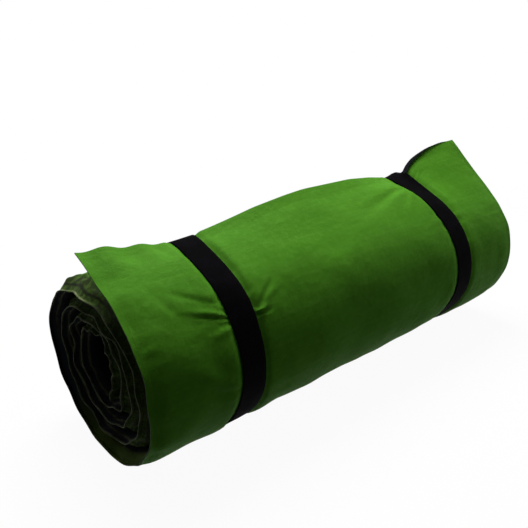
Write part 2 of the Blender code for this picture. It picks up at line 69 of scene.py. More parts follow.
class Ripple:
    """Sum of a few waves of random length, direction and phase, the same in every run."""

    def __init__(self, seed: int, shortest: float, longest: float, waves: int = 7) -> None:
        """Draws the waves.

        Args:
            seed: Number that fixes the draw.
            shortest: Shortest wave, in metres.
            longest: Longest wave, in metres.
            waves: How many waves are added up.
        """
        draw = np.random.default_rng(seed)
        self.number = TAU / draw.uniform(shortest, longest, waves)
        self.turn = draw.uniform(0.0, TAU, waves)
        self.phase = draw.uniform(0.0, TAU, waves)
        self.scale = 1.0 / math.sqrt(waves / 2.0)

    def along(self, run: Array) -> Array:
        """Height of the ripple along one line, about -1 to 1.

        Args:
            run: Places on the line, in metres.

        Returns:
            The height at each place.
        """
        total = np.zeros_like(run, dtype=float)
        for number, phase in zip(self.number, self.phase):
            total += np.sin(number * run + phase)
        return total * self.scale

    def over(self, across: Array, run: Array) -> Array:
        """Height of the ripple over a surface, about -1 to 1.

        Args:
            across: Places across the mat, in metres.
            run: Places along the mat, in metres.

        Returns:
            The height at each place.
        """
        total = np.zeros(np.broadcast(across, run).shape)
        for number, turn, phase in zip(self.number, self.turn, self.phase):
            wave = across * math.cos(turn) + run * math.sin(turn)
            total += np.sin(number * wave + phase)
        return total * self.scale


@dataclass(frozen=True)
class Winding:
    """The line on which the middle of the mat is wound, and the sizes of the mat itself."""

    length: float = 1.83
    width: float = 0.50
    thickness: float = 0.0112
    fabric: float = 0.0005
    core_radius: float = 0.0342
    slack: float = 0.0024
    flattening: float = 0.10
    end_angle: float = math.radians(81.0)
    facets: int = 20
    drift: float = 0.0020
    axis_height: float = 0.08743
    weld: float = 0.012
    foot: float = 0.024

    @property
    def pitch(self) -> float:
        """Distance from one turn to the next."""
        return self.thickness + self.slack

    @property
    def half(self) -> float:
        """Half of the mat's thickness."""
        return self.thickness / 2.0

    @property
    def half_width(self) -> float:
        """Half of the mat's width."""
        return self.width / 2.0

    @property
    def outer_radius(self) -> float:
        """Radius of the mat's middle at its free end.

        Returns:
            The radius before the roll is flattened.
        """
        inner = self.core_radius + self.half
        square = math.pi * self.pitch
        linear = TAU * inner
        run = self.length / (1.0 - self.flattening / 2.0)
        turns = (math.sqrt(linear * linear + 4.0 * square * run) - linear) / (2.0 * square)
        return inner + turns * self.pitch

    @property
    def inner_end(self) -> float:
        """Winding angle of the inner end."""
        inner = self.core_radius + self.half
        return self.end_angle + TAU * (self.outer_radius - inner) / self.pitch

    def radius(self, angle: Array | float) -> Array | float:
        """Radius of the mat's middle at a winding angle."""
        return self.outer_radius - self.pitch * (angle - self.end_angle) / TAU

    def middle(self, angle: Array | float) -> tuple[Array | float, Array | float]:
        """Point (y, z) of the mat's middle, measured from the roll's axis."""
        radius = self.radius(angle)
        return radius * np.cos(angle), radius * (1.0 - self.flattening) * np.sin(angle)

    def tangent(self, angle: Array | float) -> tuple[Array | float, Array | float]:
        """Direction (y, z) towards the free end, as long as the run of one radian.

        Args:
            angle: Winding angles, in radians.

        Returns:
            The two parts of the direction.
        """
        slope = self.pitch / TAU
        radius = self.radius(angle)
        along_y = slope * np.cos(angle) + radius * np.sin(angle)
        along_z = (1.0 - self.flattening) * (slope * np.sin(angle) - radius * np.cos(angle))
        return along_y, along_z

    def run(self, angle: Array | float) -> Array | float:
        """Length of mat from its free end to a winding angle.

        Args:
            angle: Winding angles, in radians.

        Returns:
            The length, in metres.
        """
        turned = angle - self.end_angle
        path = self.outer_radius * turned - self.pitch * turned * turned / (2.0 * TAU)
        return path * (1.0 - self.flattening / 2.0)

    @property
    def stiff_start(self) -> float:
        """Winding angle at which the straight inner end begins.

        Returns:
            The angle of the last facet far enough from the inner end for weld and valve foot.
        """
        step = TAU / self.facets
        end_y, end_z = self.middle(self.inner_end)
        needed = self.weld + self.foot + self.half
        row = math.floor((self.inner_end - self.end_angle) / step)
        while True:
            y, z = self.middle(self.end_angle + row * step)
            if math.hypot(end_y - y, end_z - z) >= needed:
                return self.end_angle + row * step
            row -= 1

    def straight(self) -> tuple[Array, Array, Array]:
        """Inner end's point, its direction outward along the mat and its outward normal.

        Returns:
            Point, direction and normal, each as (y, z).
        """
        start = np.array(self.middle(self.inner_end))
        end = np.array(self.middle(self.stiff_start))
        along = (end - start) / np.linalg.norm(end - start)
        normal = np.array((along[1], -along[0]))
        if normal @ (start + end) < 0.0:
            normal = -normal
        return start, along, normal


@dataclass(frozen=True)
class Fold:
    """One soft fold of the outer fabric, as (x, winding angle in degrees) points.

    A positive height is a ridge and a negative one a crease. The fold sets in over the share
    `rise` of its length and dies out over the share `fall`. It begins at the share `narrow` of its
    width and widens by the share `widening`, and a hollow of the share `trough` lies beside it.
    """

    points: tuple[tuple[float, float], ...]
    height: float
    width: float
    rise: float = 0.15
    fall: float = 0.6
    narrow: float = 0.7
    widening: float = 0.8
    trough: float = 0.35

    def relief(self, x: Array, angle: Array, radius: float) -> Array:
        """Height of the fold.

        Args:
            x: Places along the roll, in metres.
            angle: Winding angles, in radians.
            radius: Radius at which angles are laid out flat.

        Returns:
            The height at each place, in metres.
        """
        line = np.array([(px, math.radians(degrees) * radius) for px, degrees in self.points])
        steps = np.linalg.norm(np.diff(line, axis=0), axis=1)
        starts = np.concatenate(([0.0], np.cumsum(steps)))
        run = angle * radius
        nearest = np.full(np.broadcast(x, run).shape, np.inf)
        share = np.zeros_like(nearest)
        for index, step in enumerate(steps):
            dx, ds = (line[index + 1] - line[index]) / step
            along = np.clip((x - line[index, 0]) * dx + (run - line[index, 1]) * ds, 0.0, step)
            gap = np.hypot(x - line[index, 0] - along * dx, run - line[index, 1] - along * ds)
            closer = gap < nearest
            nearest = np.where(closer, gap, nearest)
            share = np.where(closer, (starts[index] + along) / starts[-1], share)
        grown = smooth_step(share, 0.0, self.rise) * smooth_step(1.0 - share, 0.0, self.fall)
        widened = self.width * (self.narrow + self.widening * share)
        ridge = np.exp(-((nearest / widened) ** 2))
        sides = np.exp(-(((nearest - 2.0 * widened) / widened) ** 2))
        return self.height * grown * (ridge - self.trough * sides)


class Side(Enum):
    """The two bands, by where they sit along the roll."""

    LEFT = "left"
    RIGHT = "right"


@dataclass(frozen=True)
class BandSizes:
    """Sizes of an elastic band and of the bed that it presses into the mat."""

    width: float = 0.025
    thickness: float = 0.0015
    left_x: float = -0.1516
    right_x: float = 0.1536
    pinch: float = 0.0017
    slope: float = 0.008
    top_dip: float = 0.0022
    top_pinch: float = 0.0010
    gap: float = 0.0003
    ground_gap: float = 0.0003
    bed_margin: float = 0.001

    def centre(self, side: Side) -> float:
        """Place of a band along the roll."""
        return self.left_x if side is Side.LEFT else self.right_x

    def distance(self, x: Array) -> Array:
        """Distance from the nearer band's edge, negative under the band."""
        nearer = np.minimum(np.abs(x - self.left_x), np.abs(x - self.right_x))
        return nearer - self.width / 2.0

    def bed(self, x: Array) -> Array:
        """Share of the bed's depth, 1 under a band and 0 away from it."""
        return 1.0 - smooth_step(self.distance(x), -self.bed_margin, self.slope)


# Folds that fan out from where the bands pinch the fabric, and a few soft ones elsewhere
FOLDS = (
    Fold(((-0.1605, 147.4), (-0.1735, 144.8), (-0.1845, 142.3), (-0.1965, 139.6), (-0.2085, 137.4),
          (-0.220, 135.6)), -0.0013, 0.0014, 0.05, 0.95),
    Fold(((-0.163, 145.6), (-0.1775, 142.0), (-0.1885, 138.9), (-0.1985, 135.8), (-0.2075, 132.6)),
         0.0009, 0.0029, 0.08, 0.8),
    Fold(((-0.166, 147.9), (-0.184, 144.8), (-0.202, 142.0), (-0.222, 139.6)),
         -0.0005, 0.0044, 0.20, 0.6),
    Fold(((-0.163, 140.2), (-0.1675, 138.5), (-0.181, 134.4), (-0.195, 129.0), (-0.205, 125.2),
          (-0.222, 120.6)), -0.0005, 0.0019, 0.20, 0.6),
    Fold(((-0.164, 136.4), (-0.178, 131.0), (-0.192, 125.0), (-0.205, 119.4)),
         0.0004, 0.0036, 0.20, 0.6),
    Fold(((-0.161, 149.2), (-0.176, 149.6), (-0.187, 149.9), (-0.198, 151.0)),
         -0.0007, 0.0024, 0.10, 0.7),
    Fold(((-0.162, 151.4), (-0.177, 152.2), (-0.190, 153.8)), 0.0006, 0.0030, 0.15, 0.6),
    Fold(((-0.1400, 149.7), (-0.132, 150.0), (-0.125, 149.7), (-0.118, 149.0)),
         -0.0019, 0.0014, 0.05, 0.6),
    Fold(((-0.1395, 148.0), (-0.131, 148.2), (-0.121, 147.4)), 0.0009, 0.0022, 0.10, 0.6),
    Fold(((-0.1380, 148.4), (-0.1315, 145.2), (-0.120, 140.0), (-0.110, 136.2), (-0.0995, 130.8)),
         -0.0010, 0.0016, 0.10, 0.6),
    Fold(((-0.124, 145.6), (-0.117, 142.8), (-0.107, 140.0), (-0.096, 137.2)),
         0.0006, 0.0024, 0.15, 0.6),
    Fold(((-0.162, 183.8), (-0.179, 179.6), (-0.193, 174.3), (-0.205, 168.9), (-0.216, 162.5)),
         0.0013, 0.0052, 0.15, 0.5),
    Fold(((-0.162, 187.6), (-0.176, 184.6), (-0.192, 178.9), (-0.206, 172.3), (-0.219, 165.0)),
         -0.0010, 0.0046, 0.15, 0.5),
    Fold(((-0.204, 138.5), (-0.212, 131.0), (-0.217, 124.0), (-0.221, 116.0)),
         -0.0006, 0.0040, 0.3, 0.6),
    Fold(((0.131, 103.0), (0.100, 106.0), (0.070, 111.0), (0.040, 117.5), (0.012, 124.0)),
         -0.0010, 0.0044, 0.14, 0.7),
    Fold(((0.134, 106.0), (0.110, 110.5), (0.086, 116.5), (0.062, 123.0)),
         0.0006, 0.0050, 0.20, 0.7),
    Fold(((0.1375, 108.5), (0.124, 114.5), (0.111, 121.0), (0.097, 129.0)),
         0.0006, 0.0026, 0.15, 0.6),
    Fold(((0.168, 96.0), (0.173, 93.6), (0.1765, 90.6)), -0.0014, 0.0014, 0.1, 0.5),
    Fold(((0.173, 97.4), (0.178, 95.0), (0.1815, 92.0)), -0.0012, 0.0014, 0.1, 0.5),
    Fold(((-0.078, 133.0), (-0.060, 125.0), (-0.045, 118.6), (-0.030, 112.0)),
         0.0007, 0.0100, 0.4, 0.5),
    Fold(((-0.045, 137.0), (-0.029, 131.4), (-0.010, 127.5), (0.012, 122.0)),
         -0.0006, 0.0085, 0.4, 0.5),
    Fold(((-0.242, 178.4), (-0.236, 176.0), (-0.228, 172.6)), 0.0010, 0.0024, 0.2, 0.6),
    Fold(((-0.245, 150.0), (-0.238, 147.2), (-0.230, 143.5)), 0.0008, 0.0024, 0.2, 0.6),
    Fold(((-0.139, 196.0), (-0.118, 199.5), (-0.095, 201.0), (-0.070, 201.0)),
         -0.0008, 0.0060, 0.12, 0.6),
    Fold(((-0.139, 18.0), (-0.116, 22.0), (-0.090, 23.5), (-0.060, 22.0)),
         -0.0014, 0.0060, 0.10, 0.6),
    Fold(((0.138, 30.0), (0.112, 26.0), (0.084, 25.5), (0.050, 29.0)), -0.0012, 0.0060, 0.10, 0.6),
)


class Layer(Enum):
    """Surfaces of the mat, from the outside of the roll inward."""

    TOP_OUTSIDE = 1
    TOP_INSIDE = 2
    FOAM_OUTSIDE = 3
    FOAM_INSIDE = 4
    BASE_INSIDE = 5
    BASE_OUTSIDE = 6


@dataclass(frozen=True)
class Station:
    """One line across the mat, by its angle from the free end.

    On the straight foot it also has its distance from the inner end.
    """

    turned: float = 0.0
    distance: float | None = None

    def past(self, start: float, length: float) -> float:
        """Share that rises from 0 to 1 over a length of turn, and is 1 all along the foot."""
        return 1.0 if self.distance is not None else float(smooth_step(self.turned, start, length))


@dataclass(frozen=True)
class MatGrid:
    """How finely the mat is divided: places and steps in metres, turns and their steps in radians.

    Along the mat come its curled hem, the loose end, the outer turn, the second one, those inside
    it and the straight foot. Across it the places near the edges are the same on every line.
    """

    hem_length: float = 0.0126
    hem_step: float = 0.0006
    end_places: tuple[float, ...] = (0.0, 0.0006, 0.0018, 0.0036, 0.006, 0.0085, 0.0108, 0.0125,
                                     0.0138, 0.0155)
    folded_end: float = math.radians(77.0)
    folded_step: float = math.radians(1.1)
    outer_turn: float = math.radians(375.0)
    outer_step: float = math.radians(2.8)
    second_step: float = math.radians(3.0)
    inner_step: float = math.radians(4.4)
    foot_end: float = 0.0157
    foot_step: float = 0.0027
    edge_places: tuple[float, ...] = (0.0, 0.0006, 0.0018, 0.0036, 0.006, 0.0085, 0.0105, 0.012,
                                      0.0133, 0.0148, 0.0168, 0.0192, 0.022, 0.025, 0.028, 0.0312)
    coarse_places: tuple[float, ...] = (0.0345, 0.038, 0.042, 0.0465, 0.052, 0.0585)
    coarse_step: float = 0.0273
    fine_zones: tuple[tuple[float, float], ...] = (
        (-0.166, 0.0016), (-0.138, 0.0028), (-0.098, 0.0019), (0.085, 0.0060), (0.137, 0.0030),
        (0.165, 0.0032), (0.184, 0.0024))
    fine_step: float = 0.0048


@dataclass(frozen=True)
class Wrinkles:
    """Heights and reaches, in metres, of the small forms of the fabric and of its welds.

    `fold_margin` is in degrees, and the start and length of `tip` and the start and rise of `edge` are
    turns from the free end, in radians. Each share says how much of a height always shows and how
    much comes and goes along the mat. The shifts keep its left and right side from looking alike.
    """

    inner: float = 0.0005
    lumps: float = 0.0010
    lumps_place: float = 0.012
    broad: float = 0.00060
    soft: float = 0.00016
    fold_margin: float = 12.0
    strap: float = 0.00026
    strap_reach: float = 0.011
    strap_share: tuple[float, float] = (0.55, 0.45)
    strap_shift: tuple[float, float] = (0.4, 0.31)
    roll: float = 0.0005
    roll_place: float = 0.011
    roll_width: float = 0.009
    side: tuple[float, float] = (0.00042, 0.00016)
    side_reach: float = 0.013
    side_share: tuple[float, float] = (0.6, 0.4)
    side_shift: tuple[float, float] = (0.7, 0.53)
    weld: float = 0.0005
    weld_tucked: float = 0.0003
    weld_right: float = 0.0002
    weld_start: float = 0.010
    weld_fade: float = 0.030
    core: float = 0.0014
    core_start: float = 0.16
    core_rise: float = 0.07
    tip: float = 0.0011
    tip_start: float = 0.10
    tip_length: float = 0.25
    tip_place: float = 0.165
    tip_width: float = 0.02
    edge: float = 0.0005
    edge_tucked: float = 0.0003
    edge_right: float = 0.0004
    edge_fade: float = 0.045
    edge_start: float = 0.9
    edge_rise: float = 0.8


@dataclass
class MatSurface:
    """Shape of both fabrics and of the foam: winding, loose end, welds, beds, folds and ripples.

    Lengths are in metres, and angles in radians where their name doesn't say degrees. `tuck_turned`
    holds turns from the free end, in degrees, and the tables after it the squeeze at each of them.
    """

    winding: Winding = field(default_factory=Winding)
    bands: BandSizes = field(default_factory=BandSizes)
    grid: MatGrid = field(default_factory=MatGrid)
    wrinkles: Wrinkles = field(default_factory=Wrinkles)
    lift_x: tuple[float, ...] = (-0.25, -0.215, -0.182, -0.166, -0.142, -0.07, -0.03, 0.005, 0.035,
                                 0.07, 0.108, 0.138, 0.150, 0.166, 0.184, 0.205, 0.25)
    lift_degrees: tuple[float, ...] = (116.0, 111.5, 103.0, 96.0, 102.0, 119.0, 121.5, 121.0, 120.0,
                                       119.0, 112.0, 102.0, 102.5, 108.0, 122.0, 130.0, 136.5)
    short_x: tuple[float, ...] = (-0.25, -0.1675, -0.1405, -0.0015, 0.1375, 0.1645, 0.182,
                                  0.205, 0.25)
    short_degrees: tuple[float, ...] = (3.0, 9.0, 9.0, 2.0, 3.0, 1.0, -3.5, -4.5, -3.0)
    end_weld: float = math.radians(7.5)
    end_slope: float = math.radians(11.0)
    skew_start: float = math.radians(18.0)
    skew_fade: float = math.radians(18.0)
    side_weld: float = 0.005
    side_slope: float = 0.020
    tucked_slope: float = 0.013
    border_start: float = math.radians(70.0)
    border_length: float = math.radians(40.0)
    border_end: float = math.radians(185.0)
    border_fade: float = math.radians(50.0)
    border_width: float = 0.0085
    border_blend: float = 0.004
    border_curl: float = 0.0010
    curl_reach: float = 1.6
    end_rise: float = 0.0014
    end_rise_fade: float = 0.5
    press_start: float = 0.55
    press_fade: float = 0.7
    valve_reach: float = 0.22
    valve_blend: float = 0.10
    inner_start: float = math.radians(335.0)
    inner_blend: float = math.radians(45.0)
    crown_power: float = 2.2
    crown_round: float = 0.95
    crown_tucked: float = 0.38
    near_dip: float = 0.0023
    near_dip_angle: float = math.radians(215.0)
    near_dip_reach: float = math.radians(24.0)
    right_bulge: float = 0.0048
    bulge_rise: float = 0.85
    bulge_end: float = 4.5
    bulge_fall: float = 1.5
    bulge_place: float = 0.14
    bulge_width: float = 0.11
    tip_draw: float = 0.0018
    foot_slope: float = 0.012
    weld_rise: float = 0.003
    rise_reach: float = 0.10
    tucked_rise: float = -0.001
    seal: float = 0.00002
    foam_gap: float = 0.0009
    foam_ease: float = 0.0030
    foot_half: float = 0.0042
    foot_margin: float = 0.001
    base_ground: float = 0.001
    ground_soft: float = 0.0004
    tuck_start: float = math.radians(268.0)
    tuck_length: float = math.radians(55.0)
    tuck_reach: float = 0.055
    tuck_turned: tuple[float, ...] = (270.0, 369.0, 729.0, 1089.0, 1449.0)
    tuck_top: tuple[float, ...] = (0.006, 0.0120, 0.0140, 0.0120, 0.0085)
    tuck_near: tuple[float, ...] = (0.0, 0.0018, 0.0060, 0.0105, 0.0128)
    tuck_bottom: tuple[float, ...] = (0.0, 0.0020, 0.0032, 0.0055, 0.0075)
    tuck_far: tuple[float, ...] = (0.0, 0.0015, 0.0040, 0.0075, 0.0100)
    tuck_recess: tuple[float, ...] = (0.0, 0.0030, 0.0065, 0.0105, 0.0140)
    recess_reach: float = 0.30
    hem_start_x: float = 0.1615
    hem_blend: float = 0.004
    hem_end_x: float = 0.246
    hem_fade: float = 0.080
    hem_curl: float = 0.0082
    hem_radius: float = 0.0013
    hem_turn: float = math.radians(168.0)
    table_step: float = 0.001
    table_blur: int = 4
    table_margin: float = 0.02

    def __post_init__(self) -> None:
        """Smooths the tables across the loose end and draws the ripples."""
        reach = self.winding.half_width + self.table_margin
        self.table_x = np.arange(-reach, reach, self.table_step)
        spread = np.arange(-3 * self.table_blur, 3 * self.table_blur + 1)
        weight = np.exp(-0.5 * (spread / self.table_blur) ** 2)
        weight /= weight.sum()
        tables = []
        for places, degrees in ((self.lift_x, self.lift_degrees), (self.short_x, self.short_degrees)):
            plain = np.interp(self.table_x, places, degrees)
            padded = np.pad(plain, len(spread) // 2, mode="edge")
            tables.append(np.radians(np.convolve(padded, weight, mode="valid")))
        self.lift_table, self.short_table = tables
        self.broad = Ripple(11, 0.07, 0.16)
        self.soft = Ripple(12, 0.028, 0.055, 9)
        self.strap_puckers = Ripple(13, 0.011, 0.021)
        self.strap_strength = Ripple(14, 0.05, 0.12, 4)
        self.side_puckers = Ripple(15, 0.010, 0.020)
        self.side_strength = Ripple(16, 0.05, 0.11, 4)
        self.weld_wave = Ripple(17, 0.026, 0.060, 6)
        self.weld_wave_right = Ripple(18, 0.026, 0.060, 6)
        self.end_wave = Ripple(19, 0.030, 0.048, 4)
        self.edge_shift = Ripple(20, 0.035, 0.090, 5)
        self.inner_ripple = Ripple(21, 0.020, 0.050, 8)
        self.lumps = Ripple(22, 0.009, 0.020, 9)
        self.crumples = Ripple(23, 0.014, 0.028, 5)

    def lift(self, x: Array) -> Array:
        """Winding angle at which the loose end leaves the roll."""
        return np.interp(x, self.table_x, self.lift_table)

    def angles(self, station: Station, across: Array) -> Array:
        """Winding angle of every point of a station, which is skewed at the loose end.

        Args:
            station: The line across the mat.
            across: Places across the flat mat.

        Returns:
            The angle at each place, in radians.
        """
        fade = np.clip((self.skew_start + self.skew_fade - station.turned) / self.skew_fade, 0.0, 1.0)
        short = np.interp(across, self.table_x, self.short_table)
        return self.winding.end_angle + station.turned + fade * short

    def stations(self) -> list[Station]:
        """All lines across the mat.

        Returns:
            The lines from its free end to its inner end.
        """
        grid, radius = self.grid, self.winding.outer_radius
        turned = [distance / radius for distance in np.arange(0.0, grid.hem_length, grid.hem_step)]
        turned += [distance / radius for distance in grid.end_places[-2:]]
        while turned[-1] < grid.folded_end:
            turned.append(turned[-1] + grid.folded_step)
        while turned[-1] < grid.outer_turn:
            turned.append(turned[-1] + grid.outer_step)
        last = self.winding.stiff_start - self.winding.end_angle
        while turned[-1] < min(grid.outer_turn + TAU, last) - grid.second_step:
            turned.append(turned[-1] + grid.second_step)
        rest = max(1, round((last - turned[-1]) / grid.inner_step))
        turned += list(np.linspace(turned[-1], last, rest + 1)[1:])
        found = [Station(float(angle)) for angle in turned]
        straight = self.winding.weld + self.winding.foot
        for distance in np.arange(straight, grid.foot_end, -grid.foot_step):
            found.append(Station(last, float(distance)))
        for distance in reversed(grid.end_places[:-1]):
            found.append(Station(last, distance))
        return found

    def columns(self, fine: bool) -> Array:
        """Places across the flat mat, close together near its edges.

        Args:
            fine: Whether the middle is finely divided too.

        Returns:
            The places from the left edge to the right one, in metres.
        """
        grid, half = self.grid, self.winding.half_width
        near = grid.edge_places if fine else grid.edge_places + grid.coarse_places
        last = (half - near[-1], grid.fine_step if fine else grid.coarse_step)
        zones = (*grid.fine_zones, last) if fine else (last,)
        left = np.array(near) - half
        middle = [float(left[-1])]
        for end, step in zones:
            count = max(1, round((end - middle[-1]) / step))
            middle += list(np.linspace(middle[-1], end, count + 1)[1:])
        return np.concatenate((left, middle[1:-1], -left[::-1]))

    def run(self, station: Station) -> float:
        """Length of mat from the free end to a station.

        Args:
            station: The line across the mat.

        Returns:
            The length, in metres.
        """
        path = float(self.winding.run(self.winding.end_angle + station.turned))
        if station.distance is None:
            return path
        return path + self.winding.weld + self.winding.foot - station.distance

    def on_top(self, station: Station) -> float:
        """1 near the free end, where the bands press deepest, and 0 further round the roll."""
        return 1.0 - station.past(self.press_start, self.press_fade)

    def tucked(self, station: Station) -> float:
        """0 along the outer turn and 1 where the left edge is tucked under it."""
        return station.past(self.tuck_start, self.tuck_length)

    def bordered(self, station: Station) -> float:
        """0 where the left border lies flush and 1 where it curls in towards the core."""
        return station.past(self.border_start, self.border_length)

    def inner_share(self, station: Station) -> float:
        """0 on the outer turn and 1 on the turns inside it."""
        return station.past(self.inner_start, self.inner_blend)

    def wrapped(self, station: Station, across: Array) -> Array:
        """Share of green where the top fabric is wrapped round the outer turn's left border.

        Args:
            station: The line across the mat.
            across: Places across the flat mat.

        Returns:
            The share at each place.
        """
        ended = station.past(self.border_end, self.border_fade)
        from_left = across + self.winding.half_width
        near_edge = 1.0 - smooth_step(from_left, self.border_width, self.border_blend)
        return self.bordered(station) * (1.0 - ended) * near_edge

    def side_welds(self, station: Station, across: Array) -> Array:
        """Width of the side weld, which is wider round the valve at the inner end.

        Args:
            station: The line across the mat.
            across: Places across the flat mat.

        Returns:
            The width at each place, in metres.
        """
        to_end = self.run(station) - self.winding.length
        at_valve = float(smooth_step(to_end, -self.valve_reach, self.valve_blend))
        return self.side_weld + (self.winding.weld - self.side_weld) * at_valve * (across > 0.0)

    def edge_rise(self, station: Station, across: Array) -> Array:
        """How far outward of the mat's middle the side welds lie.

        Args:
            station: The line across the mat.
            across: Places across the flat mat.

        Returns:
            The distance at each place, in metres.
        """
        from_left = across + self.winding.half_width
        left = 1.0 - smooth_step(from_left, 0.0, self.rise_reach)
        curl = np.clip(1.0 - from_left / (self.curl_reach * self.side_weld), 0.0, 1.0)
        rise = self.weld_rise + (self.tucked_rise - self.weld_rise) * self.tucked(station) * left
        rise = rise + self.end_rise * (1.0 - station.past(0.0, self.end_rise_fade))
        return rise - self.border_curl * self.bordered(station) * curl

    def swelling(self, station: Station, across: Array) -> Array:
        """Share of the full thickness, 0 at the welds and 1 inside.

        Args:
            station: The line across the mat.
            across: Places across the flat mat.

        Returns:
            The share at each place.
        """
        inside = self.winding.half_width - np.abs(across)
        tucked = self.bordered(station) * (across < 0.0)
        slope = self.side_slope + (self.tucked_slope - self.side_slope) * tucked
        side = np.clip((inside - self.side_welds(station, across)) / slope, 0.0, 1.0)
        if station.distance is None:
            end = np.clip((station.turned - self.end_weld) / self.end_slope, 0.0, 1.0)
        else:
            end = np.clip((station.distance - self.winding.weld) / self.foot_slope, 0.0, 1.0)
        return self.crown(side, tucked) * self.crown(end, 0.0)

    def crown(self, share: Array, tucked: Array | float) -> Array:
        """Rounded rise from a weld to the full thickness, rounder where the edge is tucked."""
        power = self.crown_round - self.crown_tucked * tucked
        return (1.0 - (1.0 - share) ** self.crown_power) ** power

    def relief(self, station: Station, x: Array, angle: Array, run: float) -> Array:
        """Height of folds, puckers and ripples on the outer fabric.

        Args:
            station: The line across the mat.
            x: Places along the roll.
            angle: Winding angles of the same places.
            run: Length of mat from the free end.

        Returns:
            The height at each place, in metres.
        """
        sizes, inner = self.wrinkles, self.inner_share(station)
        here = np.full_like(x, run)
        height = sizes.inner * self.inner_ripple.over(x, here) * inner
        from_left = x + self.winding.half_width - self.side_weld
        beside = np.exp(-(((from_left - sizes.lumps_place) / sizes.lumps_place) ** 2))
        height += sizes.lumps * self.tucked(station) * beside * self.lumps.over(x, here)
        if inner >= 1.0:
            return height
        radius = self.winding.outer_radius
        layout = angle * radius
        shown = np.zeros_like(x)
        for fold in FOLDS:
            for turn in (0.0, 360.0):
                first = min(degrees for _, degrees in fold.points) + turn - sizes.fold_margin
                last = max(degrees for _, degrees in fold.points) + turn + sizes.fold_margin
                if np.degrees(angle.max()) < first or np.degrees(angle.min()) > last:
                    continue
                shown += fold.relief(x, angle - math.radians(turn), radius)
        end = np.sign(x)
        distance = np.maximum(self.bands.distance(x), 0.0)
        always, varied = sizes.strap_share
        first, second = sizes.strap_shift
        strength = always + varied * self.strap_strength.along(layout + first * end)
        pucker = self.strap_puckers.along(layout + second * end)
        shown += sizes.strap * strength * pucker * np.exp(-distance / sizes.strap_reach)
        shown += sizes.roll * np.exp(-(((distance - sizes.roll_place) / sizes.roll_width) ** 2))
        inside = np.maximum(self.winding.half_width - np.abs(x) - self.side_weld, 0.0)
        always, varied = sizes.side_share
        first, second = sizes.side_shift
        strength = always + varied * self.side_strength.along(layout + first * end)
        pucker = self.side_puckers.along(layout + second * end)
        shown += np.where(x < 0.0, *sizes.side) * strength * pucker * np.exp(-inside / sizes.side_reach)
        shown += sizes.broad * self.broad.over(x, layout)
        shown += sizes.soft * self.soft.over(x, layout)
        return height + shown * (1.0 - inner)

    def wave(self, station: Station, across: Array, run: float) -> Array:
        """How far welds wave off the winding, fading out into the mat.

        Args:
            station: The line across the mat.
            across: Places across the flat mat.
            run: Length of mat from the free end.

        Returns:
            The distance at each place, in metres.
        """
        sizes, left_half = self.wrinkles, across < 0.0
        inside = self.winding.half_width - np.abs(across)
        fade = 1.0 - smooth_step(inside, sizes.weld_start, sizes.weld_fade)
        line = np.array([run])
        left = self.weld_wave.along(line)[0]
        right = self.weld_wave_right.along(line)[0]
        tucked = self.tucked(station)
        at_left = sizes.weld + sizes.weld_tucked * tucked
        amount = np.where(left_half, at_left, sizes.weld_right * (1.0 - tucked))
        height = amount * fade * np.where(left_half, left, right)
        near_core = float(smooth_step(run - self.winding.length, -sizes.core_start, sizes.core_rise))
        crumpled = sizes.core * near_core * self.crumples.along(line)[0]
        height = height + crumpled * fade * left_half
        near_end = 1.0 - station.past(sizes.tip_start, sizes.tip_length)
        loose = smooth_step(-across, sizes.tip_place, sizes.tip_width)
        return height + sizes.tip * near_end * loose * self.end_wave.along(across)

    def shifted(self, station: Station, across: Array, run: float) -> Array:
        """Place along the roll of points across the mat, with drift, recess and an uneven edge.

        Args:
            station: The line across the mat.
            across: Places across the flat mat.
            run: Length of mat from the free end.

        Returns:
            The x of each place.
        """
        sizes, turned = self.wrinkles, self.turned(station)
        drift = -self.winding.drift * turned / TAU
        inside = self.winding.half_width - np.abs(across)
        fade = 1.0 - smooth_step(inside, 0.0, sizes.edge_fade)
        tucked = self.tucked(station)
        loose = station.past(sizes.edge_start, sizes.edge_rise)
        at_left = sizes.edge + sizes.edge_tucked * tucked
        amount = np.where(across < 0.0, at_left, sizes.edge_right * (1.0 - tucked))
        uneven = self.edge_shift.along(np.array([run]))[0] * amount * loose
        from_left = across + self.winding.half_width
        recess = np.interp(math.degrees(turned), self.tuck_turned, self.tuck_recess) * tucked
        recess = recess * (1.0 - smooth_step(from_left, 0.0, self.recess_reach))
        grown = float(smooth_step(turned, 0.0, self.bulge_rise))
        bulge = (self.right_bulge + self.tip_draw) * grown - self.tip_draw
        bulge *= 1.0 - float(smooth_step(turned, self.bulge_end, self.bulge_fall))
        at_right = smooth_step(across, self.bulge_place, self.bulge_width)
        return across + drift + fade * uneven + recess + bulge * at_right

    def turned(self, station: Station) -> float:
        """Angle from the free end, which stays at the inner end's along the straight part.

        Args:
            station: The line across the mat.

        Returns:
            The angle, in radians.
        """
        if station.distance is None:
            return station.turned
        return self.winding.inner_end - self.winding.end_angle

    def tuck(self, station: Station, across: Array, angle: Array) -> tuple[Array, Array]:
        """Shift (y, z) by which the tucked turns are squeezed inward near the left end.

        Args:
            station: The line across the mat.
            across: Places across the flat mat.
            angle: Winding angles of the same places.

        Returns:
            The two shifts at each place, in metres.
        """
        turned = math.degrees(self.turned(station))
        near_end = 1.0 - smooth_step(across + self.winding.half_width, 0.0, self.tuck_reach)
        share = self.tucked(station) * near_end
        amounts = (self.tuck_top, self.tuck_near, self.tuck_bottom, self.tuck_far)
        top, near, bottom, far = (np.interp(turned, self.tuck_turned, row) for row in amounts)
        upward, sideways = np.sin(angle), np.cos(angle)
        shift_y = np.where(sideways > 0.0, -far, near) * sideways * sideways
        shift_z = np.where(upward > 0.0, -top, bottom) * upward * upward
        return share * shift_y, share * shift_z

